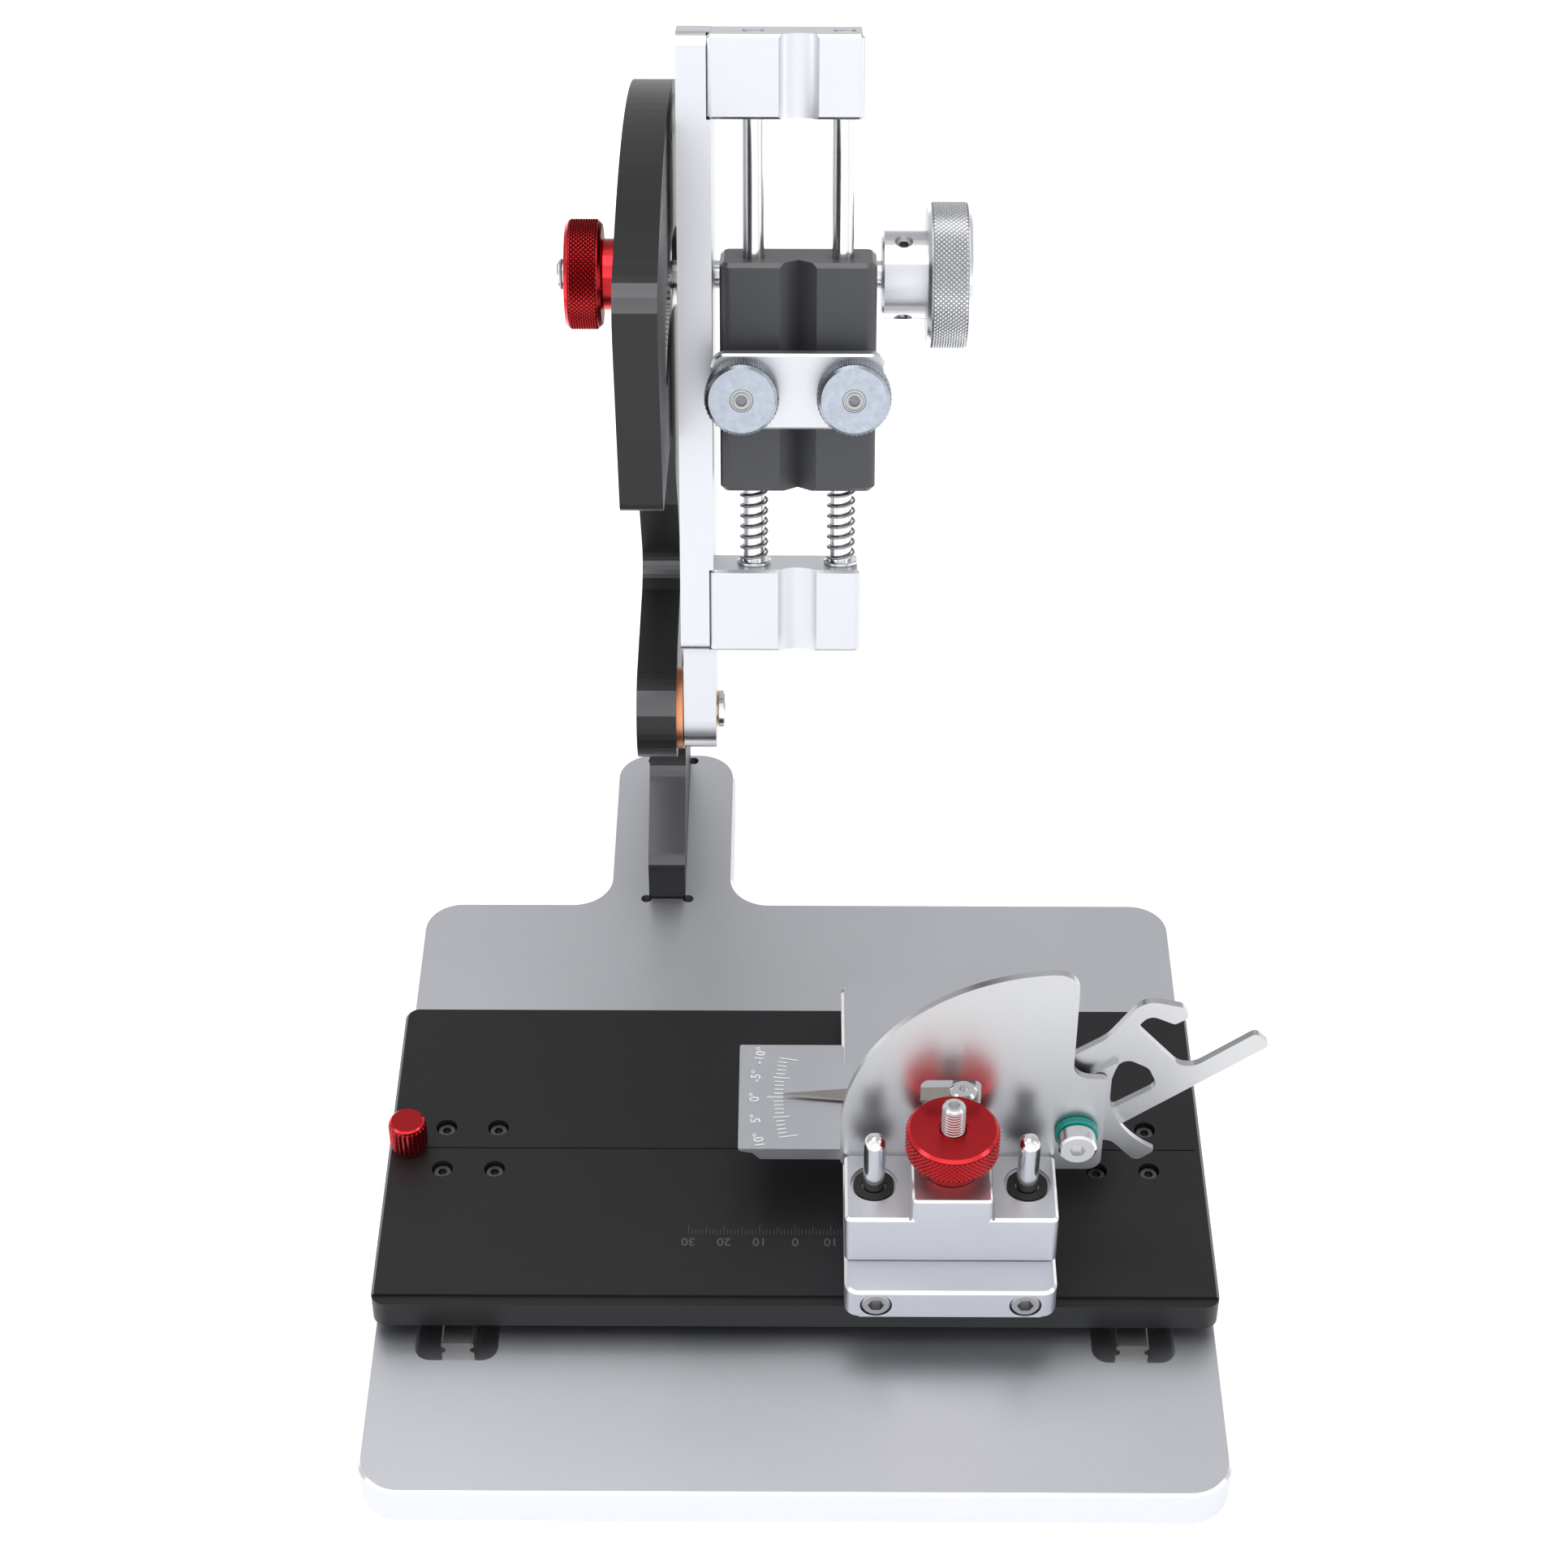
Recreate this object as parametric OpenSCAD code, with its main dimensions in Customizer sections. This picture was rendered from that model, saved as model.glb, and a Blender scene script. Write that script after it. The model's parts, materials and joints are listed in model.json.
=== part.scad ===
// Golf club angle gauge: loft, lie and face angle on one stand.
// Millimetres. X right, Y back, Z up. The origin is the centre of the main
// base plate's underside. A club shaft stands in the V block at X = 0.

/* [Base] */
// Width of the base plate
base_w = 235; // [215:1:290]
// Depth of the main base plate
base_d = 229; // [190:1:280]
// Thickness of the base plate
base_t = 13; // [11:0.5:18]
// Corner radius of the base plate
base_r = 12; // [6:1:20]
// Chamfer on the edges of the large plates
edge_c = 0.8; // [0.3:0.1:1.2]
// Width of the tongue that carries the column
tongue_w = 39.2; // [30:0.2:60]
// Length of the tongue behind the main plate
tongue_len = 73; // [73:1:100]
// Fillet where the tongue meets the plate
tongue_fillet = 11.5; // [4:0.5:16]

/* [Cross table] */
// Distance of each linear rail from the middle
rail_x = 93.7; // [70:0.1:100]
// Width of a rail
rail_w = 9; // [7:0.5:12]
// Height of a rail
rail_h = 6.5; // [5:0.5:8]
// Length of a rail
rail_len = 124; // [100:1:150]
// Front end of the rails
rail_y0 = -64; // [-80:1:-50]
// Depth of the rail pockets in the base plate
pocket_depth = 6.4; // [4:0.2:8]
// Width of a rail pocket
pocket_w = 23; // [22:0.5:30]
// Length of a carriage with its end caps
carriage_len = 39.9; // [30:0.1:50]
// Width of a carriage
carriage_w = 20; // [18:0.5:28]
// Height from a rail's foot to the top of its carriage
stack_h = 10; // [9:0.5:14]
// Width of the cross table
table_w = 234.4; // [215:0.2:290]
// Depth of the cross table
table_d = 114.6; // [90:0.2:150]
// Thickness of the cross table
table_t = 10.4; // [8:0.2:14]
// Middle of the carriages and of the measuring line
line_y = -3.5; // [-10:0.1:5]
// Depth of the step that guides the saddle
fence_h = 0.8; // [0.5:0.1:1.5]
// Diameter of the table lock knob
lock_d = 10; // [8:0.5:14]
// Height of the table lock knob
lock_h = 10.7; // [8:0.1:16]

/* [Saddle and loft head] */
// Middle of the saddle across the table
saddle_x = 42.5; // [30:0.5:60]
// Width of the saddle and of the loft head
saddle_w = 58; // [54:0.5:66]
// Depth of the saddle
saddle_d = 120; // [119:1:135]
// Thickness of the saddle
saddle_t = 10.4; // [8:0.2:14]
// Diameter of the guide pins
pin_d = 6; // [5:0.5:8]
// Distance of each guide pin from the middle
pin_x = 21; // [19.5:0.5:22]
// Height of the guide pins above the saddle
pin_h = 36.5; // [32:0.5:50]
// Outer diameter of the linear bearings
bearing_d = 12; // [10:0.5:13]
// Depth of the loft head block
head_d = 24.2; // [22:0.2:28]
// Height of the loft head block
head_h = 17.2; // [14:0.2:22]
// Width of the raised boss on the block
boss_w = 21.7; // [18:0.1:24]
// Height of the raised boss
boss_h = 7.4; // [5:0.2:10]
// Thread diameter of the lift stud
stud_d = 6; // [5:0.5:8]
// Diameter of the head lift knob
knob_d = 25; // [20:0.5:30]
// Thickness of the head lift knob
knob_h = 9; // [6:0.5:12]
// Radius of the loft quadrant
quad_r = 60; // [50:1:70]
// Thickness of the loft quadrant
quad_t = 2; // [1.5:0.1:3]
// Thickness of the loft lever
lever_t = 2; // [1.5:0.1:3]
// Length of the loft lever from its pivot to its tip
lever_len = 58.3; // [48:0.1:70]
// Thickness of the crescent finger on the lever
finger_t = 1.7; // [1:0.1:2.5]
// Diameter of the loft pivot screw
loft_pin_d = 5; // [4:0.5:6]

/* [Face plate] */
// Width of the face plate's scale end
face_w = 40.5; // [30:0.5:41]
// Thickness of the face plate
face_t = 4.2; // [3:0.1:5]
// Distance from the face plate's free edge to its pivot
face_len = 99.1; // [90:0.1:110]
// Distance from the face pivot to the needle post
post_r = 35.4; // [30:0.1:40]
// Largest face angle either way
face_max = 10; // [5:1:12]

/* [Column and lie arm] */
// Thickness of the column
column_t = 11.5; // [9:0.5:14]
// Height of the lie pivot above the base plate
pivot_h = 94; // [85:1:110]
// Lie pivot's place along Y
pivot_y = 98.9; // [90:0.1:105]
// Outer radius of the column's sector
sector_r = 182; // [170:1:200]
// Distance from the lie pivot to the pinion
pinion_r = 130; // [120:1:140]
// Lie angle at rest
lie_rest = 70.5; // [55:0.5:85]
// Smallest lie angle
lie_min = 50; // [50:1:55]
// Largest lie angle
lie_max = 90; // [85:1:90]
// Thickness of the lie arm
arm_t = 9.4; // [8:0.2:12]
// Length of the lie arm from its pivot
arm_len = 201.5; // [195:0.5:220]
// Gap between the column and the lie arm
arm_gap = 2.3; // [1.5:0.1:4]
// Diameter of the guide rods
rod_d = 6; // [5:0.5:8]
// Distance of each guide rod from the middle
rod_x = 12.25; // [11:0.25:13]
// Width of the shaft blocks
block_w = 42.5; // [40:0.5:46]
// Height of the lower shaft block
lower_h = 24.1; // [20:0.1:28]
// Height of the upper shaft block
upper_h = 22.5; // [20:0.1:28]
// Diameter of the thread-cut pinion shaft
shaft_d = 8; // [6:0.5:10]
// Diameter of the knurled lie knob
lie_knob_d = 40; // [30:1:50]
// Diameter of the lie lock knob
lie_lock_d = 30; // [26:1:40]

/* [Shaft clamp] */
// Width of the clamp block
clamp_w = 43; // [38:0.5:44]
// Height of the clamp block along the arm
clamp_h = 64.3; // [50:0.1:80]
// Thickness of the clamp block
clamp_t = 20; // [18:0.5:22]
// Width of the V groove
vee_w = 10.1; // [6:0.1:14]
// Width of the clamp plate
plate_w = 47.5; // [45:0.5:54]
// Thickness of the clamp plate
plate_t = 4.7; // [3:0.1:6]
// Diameter of the thumb screws
thumb_d = 19.5; // [16:0.5:22]
// Travel of the clamp plate off the shaft
plate_travel = 4.5; // [3:0.5:6]
// Number of turns in a clamp spring
spring_turns = 7; // [5:1:9]

/* [Hidden] */
$fn = 64;

// clearances: moving gap, running fit on the radius, thread and seat fit
gap = 0.3;
fit = 0.05;

silver = "#c9cbd0";
black = "#2b2c2f";
red = "#b3202a";
chrome = "#d8dadd";
steel = "#a9abae";
zinc = "#bfc5cc";

// heights of the stack
rail_z = base_t - pocket_depth;
table_z = rail_z + stack_h;
table_top = table_z + table_t;
table_y0 = line_y - 57.6;
fence_y = table_y0 + 3.1;
saddle_z = table_top + gap;
saddle_top = saddle_z + saddle_t;
saddle_y0 = table_y0 - 4.9;
saddle_mid_y = saddle_y0 + saddle_d / 2;
pocket_y0 = rail_y0 - 5.8;
pocket_len = rail_len + 11.8;
carriage_hole_x = 7.5;
carriage_hole_y = 8;
carriage_h = stack_h - 2.2;
cap_len = 5.2;

// column and tongue
column_x1 = -35.3;
column_x0 = column_x1 - column_t;
tongue_x = column_x1 - column_t / 2 + 1.15;
foot_z = base_t - 7;
foot_y0 = base_d / 2 + 2.3;
foot_y1 = foot_y0 + 67.2;
P = [pivot_y, base_t + pivot_h];
boss_r = 14.5;
slot_in = pinion_r - 12;
slot_out = pinion_r + 10.5;
slot_mid = (slot_in + slot_out) / 2;
slot_end_r = (slot_out - slot_in) / 2;
slot_a0 = lie_min - 1;
slot_a1 = lie_max + 1;
nose_r = 12;
rear_a = slot_a0 - 10.5;

// gears, module 1
pinion_z = 16;
rack_z = 2 * pinion_r - pinion_z;
thinning = 0.15;
gear_t = column_t - 1;

// lie arm, in its own frame: X across, Y away from the shaft, Z up the arm
arm_x0 = column_x1 + arm_gap;
arm_x1 = arm_x0 + arm_t;
arm_front = 30;
block_in = 1.2;
block_x0 = arm_x1 - block_in;
block_d = 15;
shaft_h = 33.6;
relief_r = 6.5;
lower_s = 28.3;
upper_s = arm_len - 0.2 - upper_h;
rod_h = 22.5;
seat_h = 1.2;
spring_r = 3.7;
wire_d = 1.1;
clamp_s = lower_s + lower_h + 23.6;
clamp_h0 = 12;
clamp_front = clamp_h0 + clamp_t;
plate_h = 38.3;
plate_s = clamp_s + 31.5;
thumb_x = 15.2;
thumb_h = 9;
thumb_shank = plate_h + plate_t + gap - 27;
bush_d = 9;
bush_len = 12;
knob_x0 = 23.4;
knob_hub_len = 12.6;
lock_hub_d = 20;

// loft head
head_z = saddle_top + gap;
head_top = head_z + head_h;
boss_top = head_top + boss_h;
head_back = -31;
head_front = head_back - head_d;
pin_y = head_back - 11;
knob_z = boss_top + gap;
knob_hub_h = 5.6;
loft_x = saddle_x + 34.5;
loft_z = head_top + 9.5;
quad_back = head_back + quad_t;
quad_cx = loft_x - 4.7;
quad_cz = loft_z - 0.2;
quad_z0 = head_top - 5.9;
finger_y = quad_back + gap;
lever_y = finger_y + finger_t;
lever_back = lever_y + lever_t;
lever_a = 39;
loft_screw_head = 10.5;
ring_y = head_back - 2.2;

// face plate
face_x = saddle_x + 40.5;
face_z = head_z + 6.4;
face_top = face_z + face_t;
face_neck_x = face_x - 69;
bracket_t = 5.8;
bracket_z = face_z - gap - bracket_t;
flange_t = 3.5;
needle_t = 1;
needle_z = face_top + 0.6;
post_x = face_x - post_r;

// ---------------------------------------------------------------- helpers

function unit(v) = v / norm(v);

// one rounded corner of an outline, at b between its neighbours a and c
function corner(a, b, c, r, n = 8) =
    r <= 0 ? [b] :
    let (u = unit(a - b),
        v = unit(c - b),
        half = acos(u * v) / 2,
        o = b + unit(u + v) * r / sin(half),
        p = b + u * r / tan(half) - o,
        q = b + v * r / tan(half) - o,
        a0 = atan2(p.y, p.x),
        turn = (atan2(q.y, q.x) - a0 + 540) % 360 - 180)
    [for (i = [0:n]) o + r * [cos(a0 + turn * i / n), sin(a0 + turn * i / n)]];

// an outline from points [x, y, radius]
function rounded(p) =
    let (k = len(p))
    [for (i = [0:k - 1])
        let (a = p[(i + k - 1) % k], b = p[i], c = p[(i + 1) % k])
        each corner([a[0], a[1]], [b[0], b[1]], [c[0], c[1]], b[2])];

// involute angle in degrees, and one gear tooth of module 1 about angle 0
function inv(a) = tan(a) * 180 / PI - a;
function tooth_half(z, r) =
    90 / z - thinning / z * 180 / PI + inv(20)
    - inv(acos(min(1, z / 2 * cos(20) / r)));
function tooth(z, r0, r1, n = 5) =
    let (h = [for (i = [0:n]) let (r = r0 + (r1 - r0) * i / n) [r, tooth_half(z, r)]])
    concat([for (p = h) p[0] * [cos(p[1]), -sin(p[1])]],
        [for (i = [n:-1:0]) h[i][0] * [cos(h[i][1]), sin(h[i][1])]]);

module edge_profile(w, h, c) {
    polygon([[-w / 2 + c, 0], [w / 2 - c, 0], [w / 2, c], [w / 2, h - c],
        [w / 2 - c, h], [-w / 2 + c, h], [-w / 2, h - c], [-w / 2, c]]);
}

// a disc or short cylinder with chamfered rims
module disc(r, h, c) {
    rotate_extrude()
        polygon([[0, 0], [r - c, 0], [r, c], [r, h - c], [r - c, h], [0, h]]);
}

// a plate with round corners and chamfered edges, centred, standing on Z = 0
module slab(x, y, z, r, c) {
    along_x(-(x / 2 - r))
        rotate([0, 0, 90])
            linear_extrude(x - 2 * r)
                edge_profile(y, z, c);
    translate([0, y / 2 - r, 0])
        rotate([90, 0, 0])
            linear_extrude(y - 2 * r)
                edge_profile(x, z, c);
    for (i = [-1, 1], j = [-1, 1])
        translate([i * (x / 2 - r), j * (y / 2 - r), 0])
            disc(r, z, c);
}

// children's Z becomes +X (their X becomes -Z), starting at x
module along_x(x) {
    translate([x, 0, 0])
        rotate([0, 90, 0])
            children();
}

// an outline in the YZ plane, given thickness from x0 to x1
module yz_plate(x0, x1) {
    translate([x0, 0, 0])
        rotate([90, 0, 90])
            linear_extrude(x1 - x0)
                children();
}

// an outline in the XZ plane, given thickness from y0 to y1
module xz_plate(y0, y1) {
    translate([0, y1, 0])
        rotate([90, 0, 0])
            linear_extrude(y1 - y0)
                children();
}

module round_rect(x, y, r) {
    square([x - 2 * r, y], center = true);
    square([x, y - 2 * r], center = true);
    for (i = [-1, 1], j = [-1, 1])
        translate([i * (x / 2 - r), j * (y / 2 - r)])
            circle(r);
}

module hex_socket(af, depth) {
    translate([0, 0, -depth])
        cylinder(r = af / sqrt(3), h = depth + 0.1, $fn = 6);
}

// head from Z = 0 up, shank down
module cap_screw(d, head, len) {
    difference() {
        union() {
            disc(head / 2, d, 0.4);
            translate([0, 0, -len])
                cylinder(d = d, h = len + 0.4);
        }
        translate([0, 0, d])
            hex_socket(d * 0.8, d * 0.55);
    }
}

// countersunk head with its top at Z = 0
module flat_screw(d, head, len) {
    difference() {
        union() {
            translate([0, 0, -(head - d) / 2])
                cylinder(r1 = d / 2, r2 = head / 2, h = (head - d) / 2);
            translate([0, 0, -len])
                cylinder(d = d, h = len - (head - d) / 2 + 0.1);
        }
        hex_socket(d * 0.6, d * 0.4);
    }
}

module countersink(d, head, len) {
    translate([0, 0, -(head - d) / 2 - fit])
        cylinder(r1 = d / 2, r2 = head / 2 + fit, h = (head - d) / 2 + fit);
    translate([0, 0, 0])
        cylinder(r = head / 2 + fit, h = 1);
    translate([0, 0, -len])
        cylinder(r = d / 2 + fit, h = len);
}

// the lie arm's frame
module on_arm() {
    translate([0, P[0], P[1]])
        rotate([lie_rest - 90, 0, 0])
            children();
}

// ------------------------------------------------------------------- base

module column_screw_places() {
    for (y = [foot_y0 + 12, (foot_y0 + foot_y1) / 2, foot_y1 - 12])
        translate([(column_x0 + column_x1) / 2, y, 0])
            children();
}

module rail_screw_places() {
    n = floor((rail_len - 16) / 20);
    for (i = [0:n])
        translate([0, rail_y0 + rail_len / 2 + (i - n / 2) * 20, 0])
            children();
}

module base_plate() {
    color(silver)
        difference() {
            union() {
                slab(base_w, base_d, base_t, base_r, edge_c);
                translate([tongue_x, base_d / 2 + tongue_len / 2 - base_r, 0])
                    slab(tongue_w, tongue_len + 2 * base_r, base_t, base_r, edge_c);
                for (i = [-1, 1])
                    translate([tongue_x + i * (tongue_w / 2), base_d / 2, 0])
                        mirror([i < 0 ? 1 : 0, 0, 0])
                            tongue_web();
            }
            for (i = [-1, 1])
                translate([i * rail_x, pocket_y0 + pocket_len / 2, rail_z])
                    linear_extrude(pocket_depth + 1)
                        round_rect(pocket_w, pocket_len, 4.5);
            for (i = [-1, 1])
                translate([i * rail_x, 0, 1.5])
                    rail_screw_places()
                        cylinder(r = 1.5 + fit, h = rail_z);
            translate([column_x0, foot_y0, foot_z])
                cube([column_t, foot_y1 - foot_y0, base_t]);
            for (x = [column_x0, column_x1], y = [foot_y0, foot_y1])
                translate([x + (x < column_x1 ? -0.9 : 0.9), y, foot_z])
                    cylinder(r = 1.7, h = base_t);
            column_screw_places()
                translate([0, 0, 0.3])
                    mirror([0, 0, 1])
                        countersink(5, 9.4, base_t);
        }
}

// inside corner beside the tongue, with the same chamfers as the plates
module tongue_web() {
    f = tongue_fillet;
    difference() {
        translate([-edge_c - 1, -edge_c - 1, 0])
            cube([f + edge_c + 1, f + edge_c + 1, base_t]);
        translate([f, f, -1])
            cylinder(r = f, h = base_t + 2);
        translate([f, f, base_t - edge_c])
            cylinder(r1 = f, r2 = f + 2 * edge_c, h = 2 * edge_c);
        translate([f, f, -edge_c])
            cylinder(r1 = f + 2 * edge_c, r2 = f, h = 2 * edge_c);
    }
}

module rail() {
    w = rail_w / 2;
    color(steel)
        difference() {
            translate([0, rail_y0 + rail_len, rail_z])
                rotate([90, 0, 0])
                    linear_extrude(rail_len)
                        polygon([[-w, 0], [w, 0], [w, 2.4], [w - 1.1, 3.1],
                            [w - 1.1, 4.2], [w, 4.9], [w, rail_h - 0.5],
                            [w - 0.5, rail_h], [-w + 0.5, rail_h],
                            [-w, rail_h - 0.5], [-w, 4.9], [-w + 1.1, 4.2],
                            [-w + 1.1, 3.1], [-w, 2.4]]);
            rail_screw_places() {
                translate([0, 0, rail_z - 1])
                    cylinder(r = 1.75, h = rail_h + 2);
                translate([0, 0, rail_z + rail_h - 3.5])
                    cylinder(r = 3, h = 4);
            }
        }
}

module rail_left() {
    translate([-rail_x, 0, 0])
        rail();
}

module rail_right() {
    translate([rail_x, 0, 0])
        rail();
}

module rail_screws() {
    color(steel)
        for (i = [-1, 1])
            translate([i * rail_x, 0, rail_z + rail_h - 3.5])
                rail_screw_places()
                    cap_screw(3, 5.5, 8);
}

function on_sector(r, a) = P + r * [cos(a), sin(a)];

// points on an arc about o, from angle a0 to a1, and the same as plain corners
function arc(o, r, a0, a1, n) =
    [for (i = [0:n]) let (a = a0 + (a1 - a0) * i / n) o + r * [cos(a), sin(a)]];
function sharp(p) = [for (q = p) [q.x, q.y, 0]];

module column_outline() {
    front_y = P[0] - 52.4;
    nose_a = 90 + asin((P[0] - front_y - nose_r) / (sector_r - nose_r));
    tail_r = 8;
    tail_a = rear_a + asin(tail_r / (sector_r - tail_r));
    top = P[1] + boss_r;
    bottom = P[1] - boss_r;
    neck = foot_y0 + 30.5;
    tail = on_sector(104, rear_a);
    polygon(rounded(concat(
        [[foot_y0, foot_z, 0],
            [foot_y1, foot_z, 0],
            [foot_y1, P[1] - 20, 40],
            [tail[0] - 3, tail[1] - 26, 30],
            [tail[0], tail[1], 12]],
        sharp(arc(on_sector(sector_r - tail_r, tail_a), tail_r, rear_a - 90, tail_a, 6)),
        sharp(arc(P, sector_r, tail_a + 2, nose_a - 2, 32)),
        sharp(arc(on_sector(sector_r - nose_r, nose_a), nose_r, nose_a, 180, 8)),
        [[front_y, P[1] + 160, 0],
            [front_y + 3.5, P[1] + 107, 5],
            [P[0] - 24, P[1] + 101, 14],
            [P[0] + 14, P[1] + 91.5, 26],
            [neck - 10, P[1] + 45.6, 30],
            [neck, top + 4, 7],
            [neck - 10, top, 3]],
        sharp(arc(P, boss_r, 90, 270, 24)),
        [[neck, bottom, 7],
            [neck - 1, base_t + 31, 14],
            [foot_y0 + 14, base_t + 21.5, 9],
            [foot_y0 + 1.5, base_t + 14, 7]])));
}

module arc_slot() {
    polygon(concat(
        arc(P, slot_out, slot_a0, slot_a1, 24),
        arc(on_sector(slot_mid, slot_a1), slot_end_r, slot_a1 + 15, slot_a1 + 165, 10),
        arc(P, slot_in, slot_a1, slot_a0, 24),
        arc(on_sector(slot_mid, slot_a0), slot_end_r, slot_a0 + 195, slot_a0 + 345, 10)));
}

// depth of the pivot nut's pocket
nut_pocket = 5.4;

module column() {
    color(black)
        difference() {
            yz_plate(column_x0, column_x1)
                difference() {
                    column_outline();
                    arc_slot();
                }
            translate([0, P[0], P[1]])
                along_x(column_x0 - 1) {
                    cylinder(r = shaft_d / 2 + fit, h = column_t + 2);
                    cylinder(r = 13 / sqrt(3) + 0.4, h = nut_pocket + 1);
                }
            column_screw_places()
                cylinder(r = 2.5 + fit, h = base_t + 12);
        }
}

module column_screws() {
    color(steel)
        column_screw_places()
            translate([0, 0, 0.3])
                mirror([0, 0, 1])
                    flat_screw(5, 9.4, 22);
}

module lie_rack() {
    pitch = 360 / rack_z;
    first = -floor((lie_rest - slot_a0) / pitch - 0.4);
    last = floor((slot_a1 - lie_rest) / pitch - 0.4);
    color(steel)
        yz_plate(column_x0 + 0.5, column_x0 + 0.5 + gear_t)
            translate(P) {
                intersection() {
                    difference() {
                        circle(rack_z / 2 - 1.25, $fn = 180);
                        circle(slot_in + fit, $fn = 180);
                    }
                    polygon([[0, 0],
                        2 * slot_in * [cos(slot_a0), sin(slot_a0)],
                        2 * slot_in * [cos(lie_rest), sin(lie_rest)],
                        2 * slot_in * [cos(slot_a1), sin(slot_a1)]]);
                }
                for (i = [first:last])
                    rotate(lie_rest + i * pitch)
                        polygon(tooth(rack_z, rack_z / 2 - 1.5, rack_z / 2 + 1));
            }
}

module pivot_pin() {
    color(chrome)
        translate([0, P[0], P[1]])
            difference() {
                union() {
                    along_x(column_x0 + 0.3)
                        cylinder(d = shaft_d, h = arm_x1 - column_x0 + 0.7);
                    along_x(arm_x1 + gap)
                        disc(5.5, 2.1, 0.4);
                }
                along_x(arm_x1 + gap + 2.1)
                    hex_socket(4, 1.4);
            }
}

module pivot_nut() {
    color(steel)
        translate([0, P[0], P[1]])
            along_x(column_x0 + 0.6)
                difference() {
                    cylinder(r = 13 / sqrt(3), h = nut_pocket - 0.6, $fn = 6);
                    translate([0, 0, -1])
                        cylinder(r = shaft_d / 2 + fit, h = 7);
                }
}

module thrust_washer() {
    color("#b06a3f")
        translate([0, P[0], P[1]])
            along_x(column_x1)
                difference() {
                    cylinder(r = boss_r - 2.5, h = arm_gap - gap);
                    translate([0, 0, -1])
                        cylinder(r = shaft_d / 2 + fit, h = arm_gap + 2);
                }
}

// ------------------------------------------------------------ cross table

module carriage_hole_places() {
    for (k = [-1, 1], i = [-1, 1], j = [-1, 1])
        translate([k * rail_x + i * carriage_hole_x, line_y + j * carriage_hole_y, 0])
            children();
}

module cross_table() {
    color(black)
        difference() {
            translate([0, table_y0 + table_d / 2, table_z])
                slab(table_w, table_d, table_t, 4, edge_c);
            translate([-table_w / 2 - 1, table_y0 - 1, table_top - fence_h])
                cube([table_w + 2, fence_y - table_y0 + 1, fence_h + 1]);
            translate([-table_w / 2 + 10, line_y - 0.15, table_top - 0.3])
                cube([table_w - 12, 0.4, 1]);
            carriage_hole_places() {
                translate([0, 0, table_z - 1])
                    cylinder(r = 1.7, h = table_t + 2);
                translate([0, 0, table_top - 4.4])
                    cylinder(r = 3, h = 5);
            }
            translate([lock_x(), line_y + 0.5, table_z - 1])
                cylinder(r = 2 + gap, h = table_t + 2);
        }
}

function lock_x() = -table_w / 2 + 5.9;

module carriage() {
    len = carriage_len - 2 * cap_len;
    color(steel)
        difference() {
            translate([0, line_y, table_z - carriage_h])
                slab(carriage_w, len, carriage_h, 1, 0.4);
            carriage_channel();
            for (i = [-1, 1], j = [-1, 1])
                translate([i * carriage_hole_x, line_y + j * carriage_hole_y, table_z - 3.2])
                    cylinder(r = 1.5 + fit, h = 4);
        }
}

module carriage_channel() {
    translate([-rail_w / 2 - gap, line_y - carriage_len, 0])
        cube([rail_w + 2 * gap, 2 * carriage_len, rail_z + rail_h + gap]);
}

module carriage_left() {
    translate([-rail_x, 0, 0])
        carriage();
}

module carriage_right() {
    translate([rail_x, 0, 0])
        carriage();
}

module carriage_caps() {
    y = carriage_len / 2 - cap_len / 2;
    color(black)
        for (i = [-1, 1])
            translate([i * rail_x, 0, 0])
                difference() {
                    for (j = [-1, 1])
                        translate([0, line_y + j * y, table_z - carriage_h + 0.3])
                            slab(carriage_w - 0.6, cap_len, carriage_h - 0.6, 1, 0.4);
                    carriage_channel();
                }
}

module carriage_screws() {
    color(steel)
        carriage_hole_places()
            translate([0, 0, table_top - 4.4])
                cap_screw(3, 5.5, 8.8);
}

module table_lock_knob() {
    color(red)
        translate([lock_x(), line_y + 0.5, 0]) {
            translate([0, 0, table_top + gap])
                disc(lock_d / 2, lock_h, 0.5);
            translate([0, 0, base_t + 0.4])
                cylinder(r = 2, h = table_top - base_t);
        }
}

// ---------------------------------------------------- saddle and loft head

module saddle_plate() {
    screw_z = saddle_z + saddle_t / 2;
    color(silver)
        difference() {
            union() {
                translate([saddle_x, saddle_mid_y, saddle_z])
                    slab(saddle_w, saddle_d, saddle_t, 4, edge_c);
                translate([saddle_x - saddle_w / 2 + 4, saddle_y0 + 1, saddle_z - fence_h])
                    cube([saddle_w - 8, fence_y - gap - saddle_y0 - 1, 4]);
            }
            for (i = [-1, 1]) {
                translate([saddle_x + i * (saddle_w / 2 - 8.6), saddle_y0 - 1, screw_z])
                    rotate([-90, 0, 0]) {
                        cylinder(r = 4.4, h = 6);
                        cylinder(r = 2.5 + fit, h = 18);
                    }
                translate([saddle_x + i * pin_x, pin_y, saddle_z + 1.5])
                    cylinder(r = pin_d / 2 + fit, h = saddle_t);
            }
            translate([saddle_x, pin_y, saddle_z + 1.5])
                cylinder(r = stud_d / 2 + fit, h = saddle_t);
        }
}

module gib_screws() {
    color(chrome)
        for (i = [-1, 1])
            translate([saddle_x + i * (saddle_w / 2 - 8.6), saddle_y0 + 5, saddle_z + saddle_t / 2])
                rotate([90, 0, 0])
                    cap_screw(5, 8, 11);
}

module guide_pins() {
    color(chrome)
        for (i = [-1, 1])
            translate([saddle_x + i * pin_x, pin_y, 0]) {
                translate([0, 0, saddle_z + 1.6])
                    cylinder(d = pin_d, h = saddle_t + pin_h - pin_d / 2 - 1.6);
                translate([0, 0, saddle_top + pin_h - pin_d / 2])
                    sphere(d = pin_d);
            }
}

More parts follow.
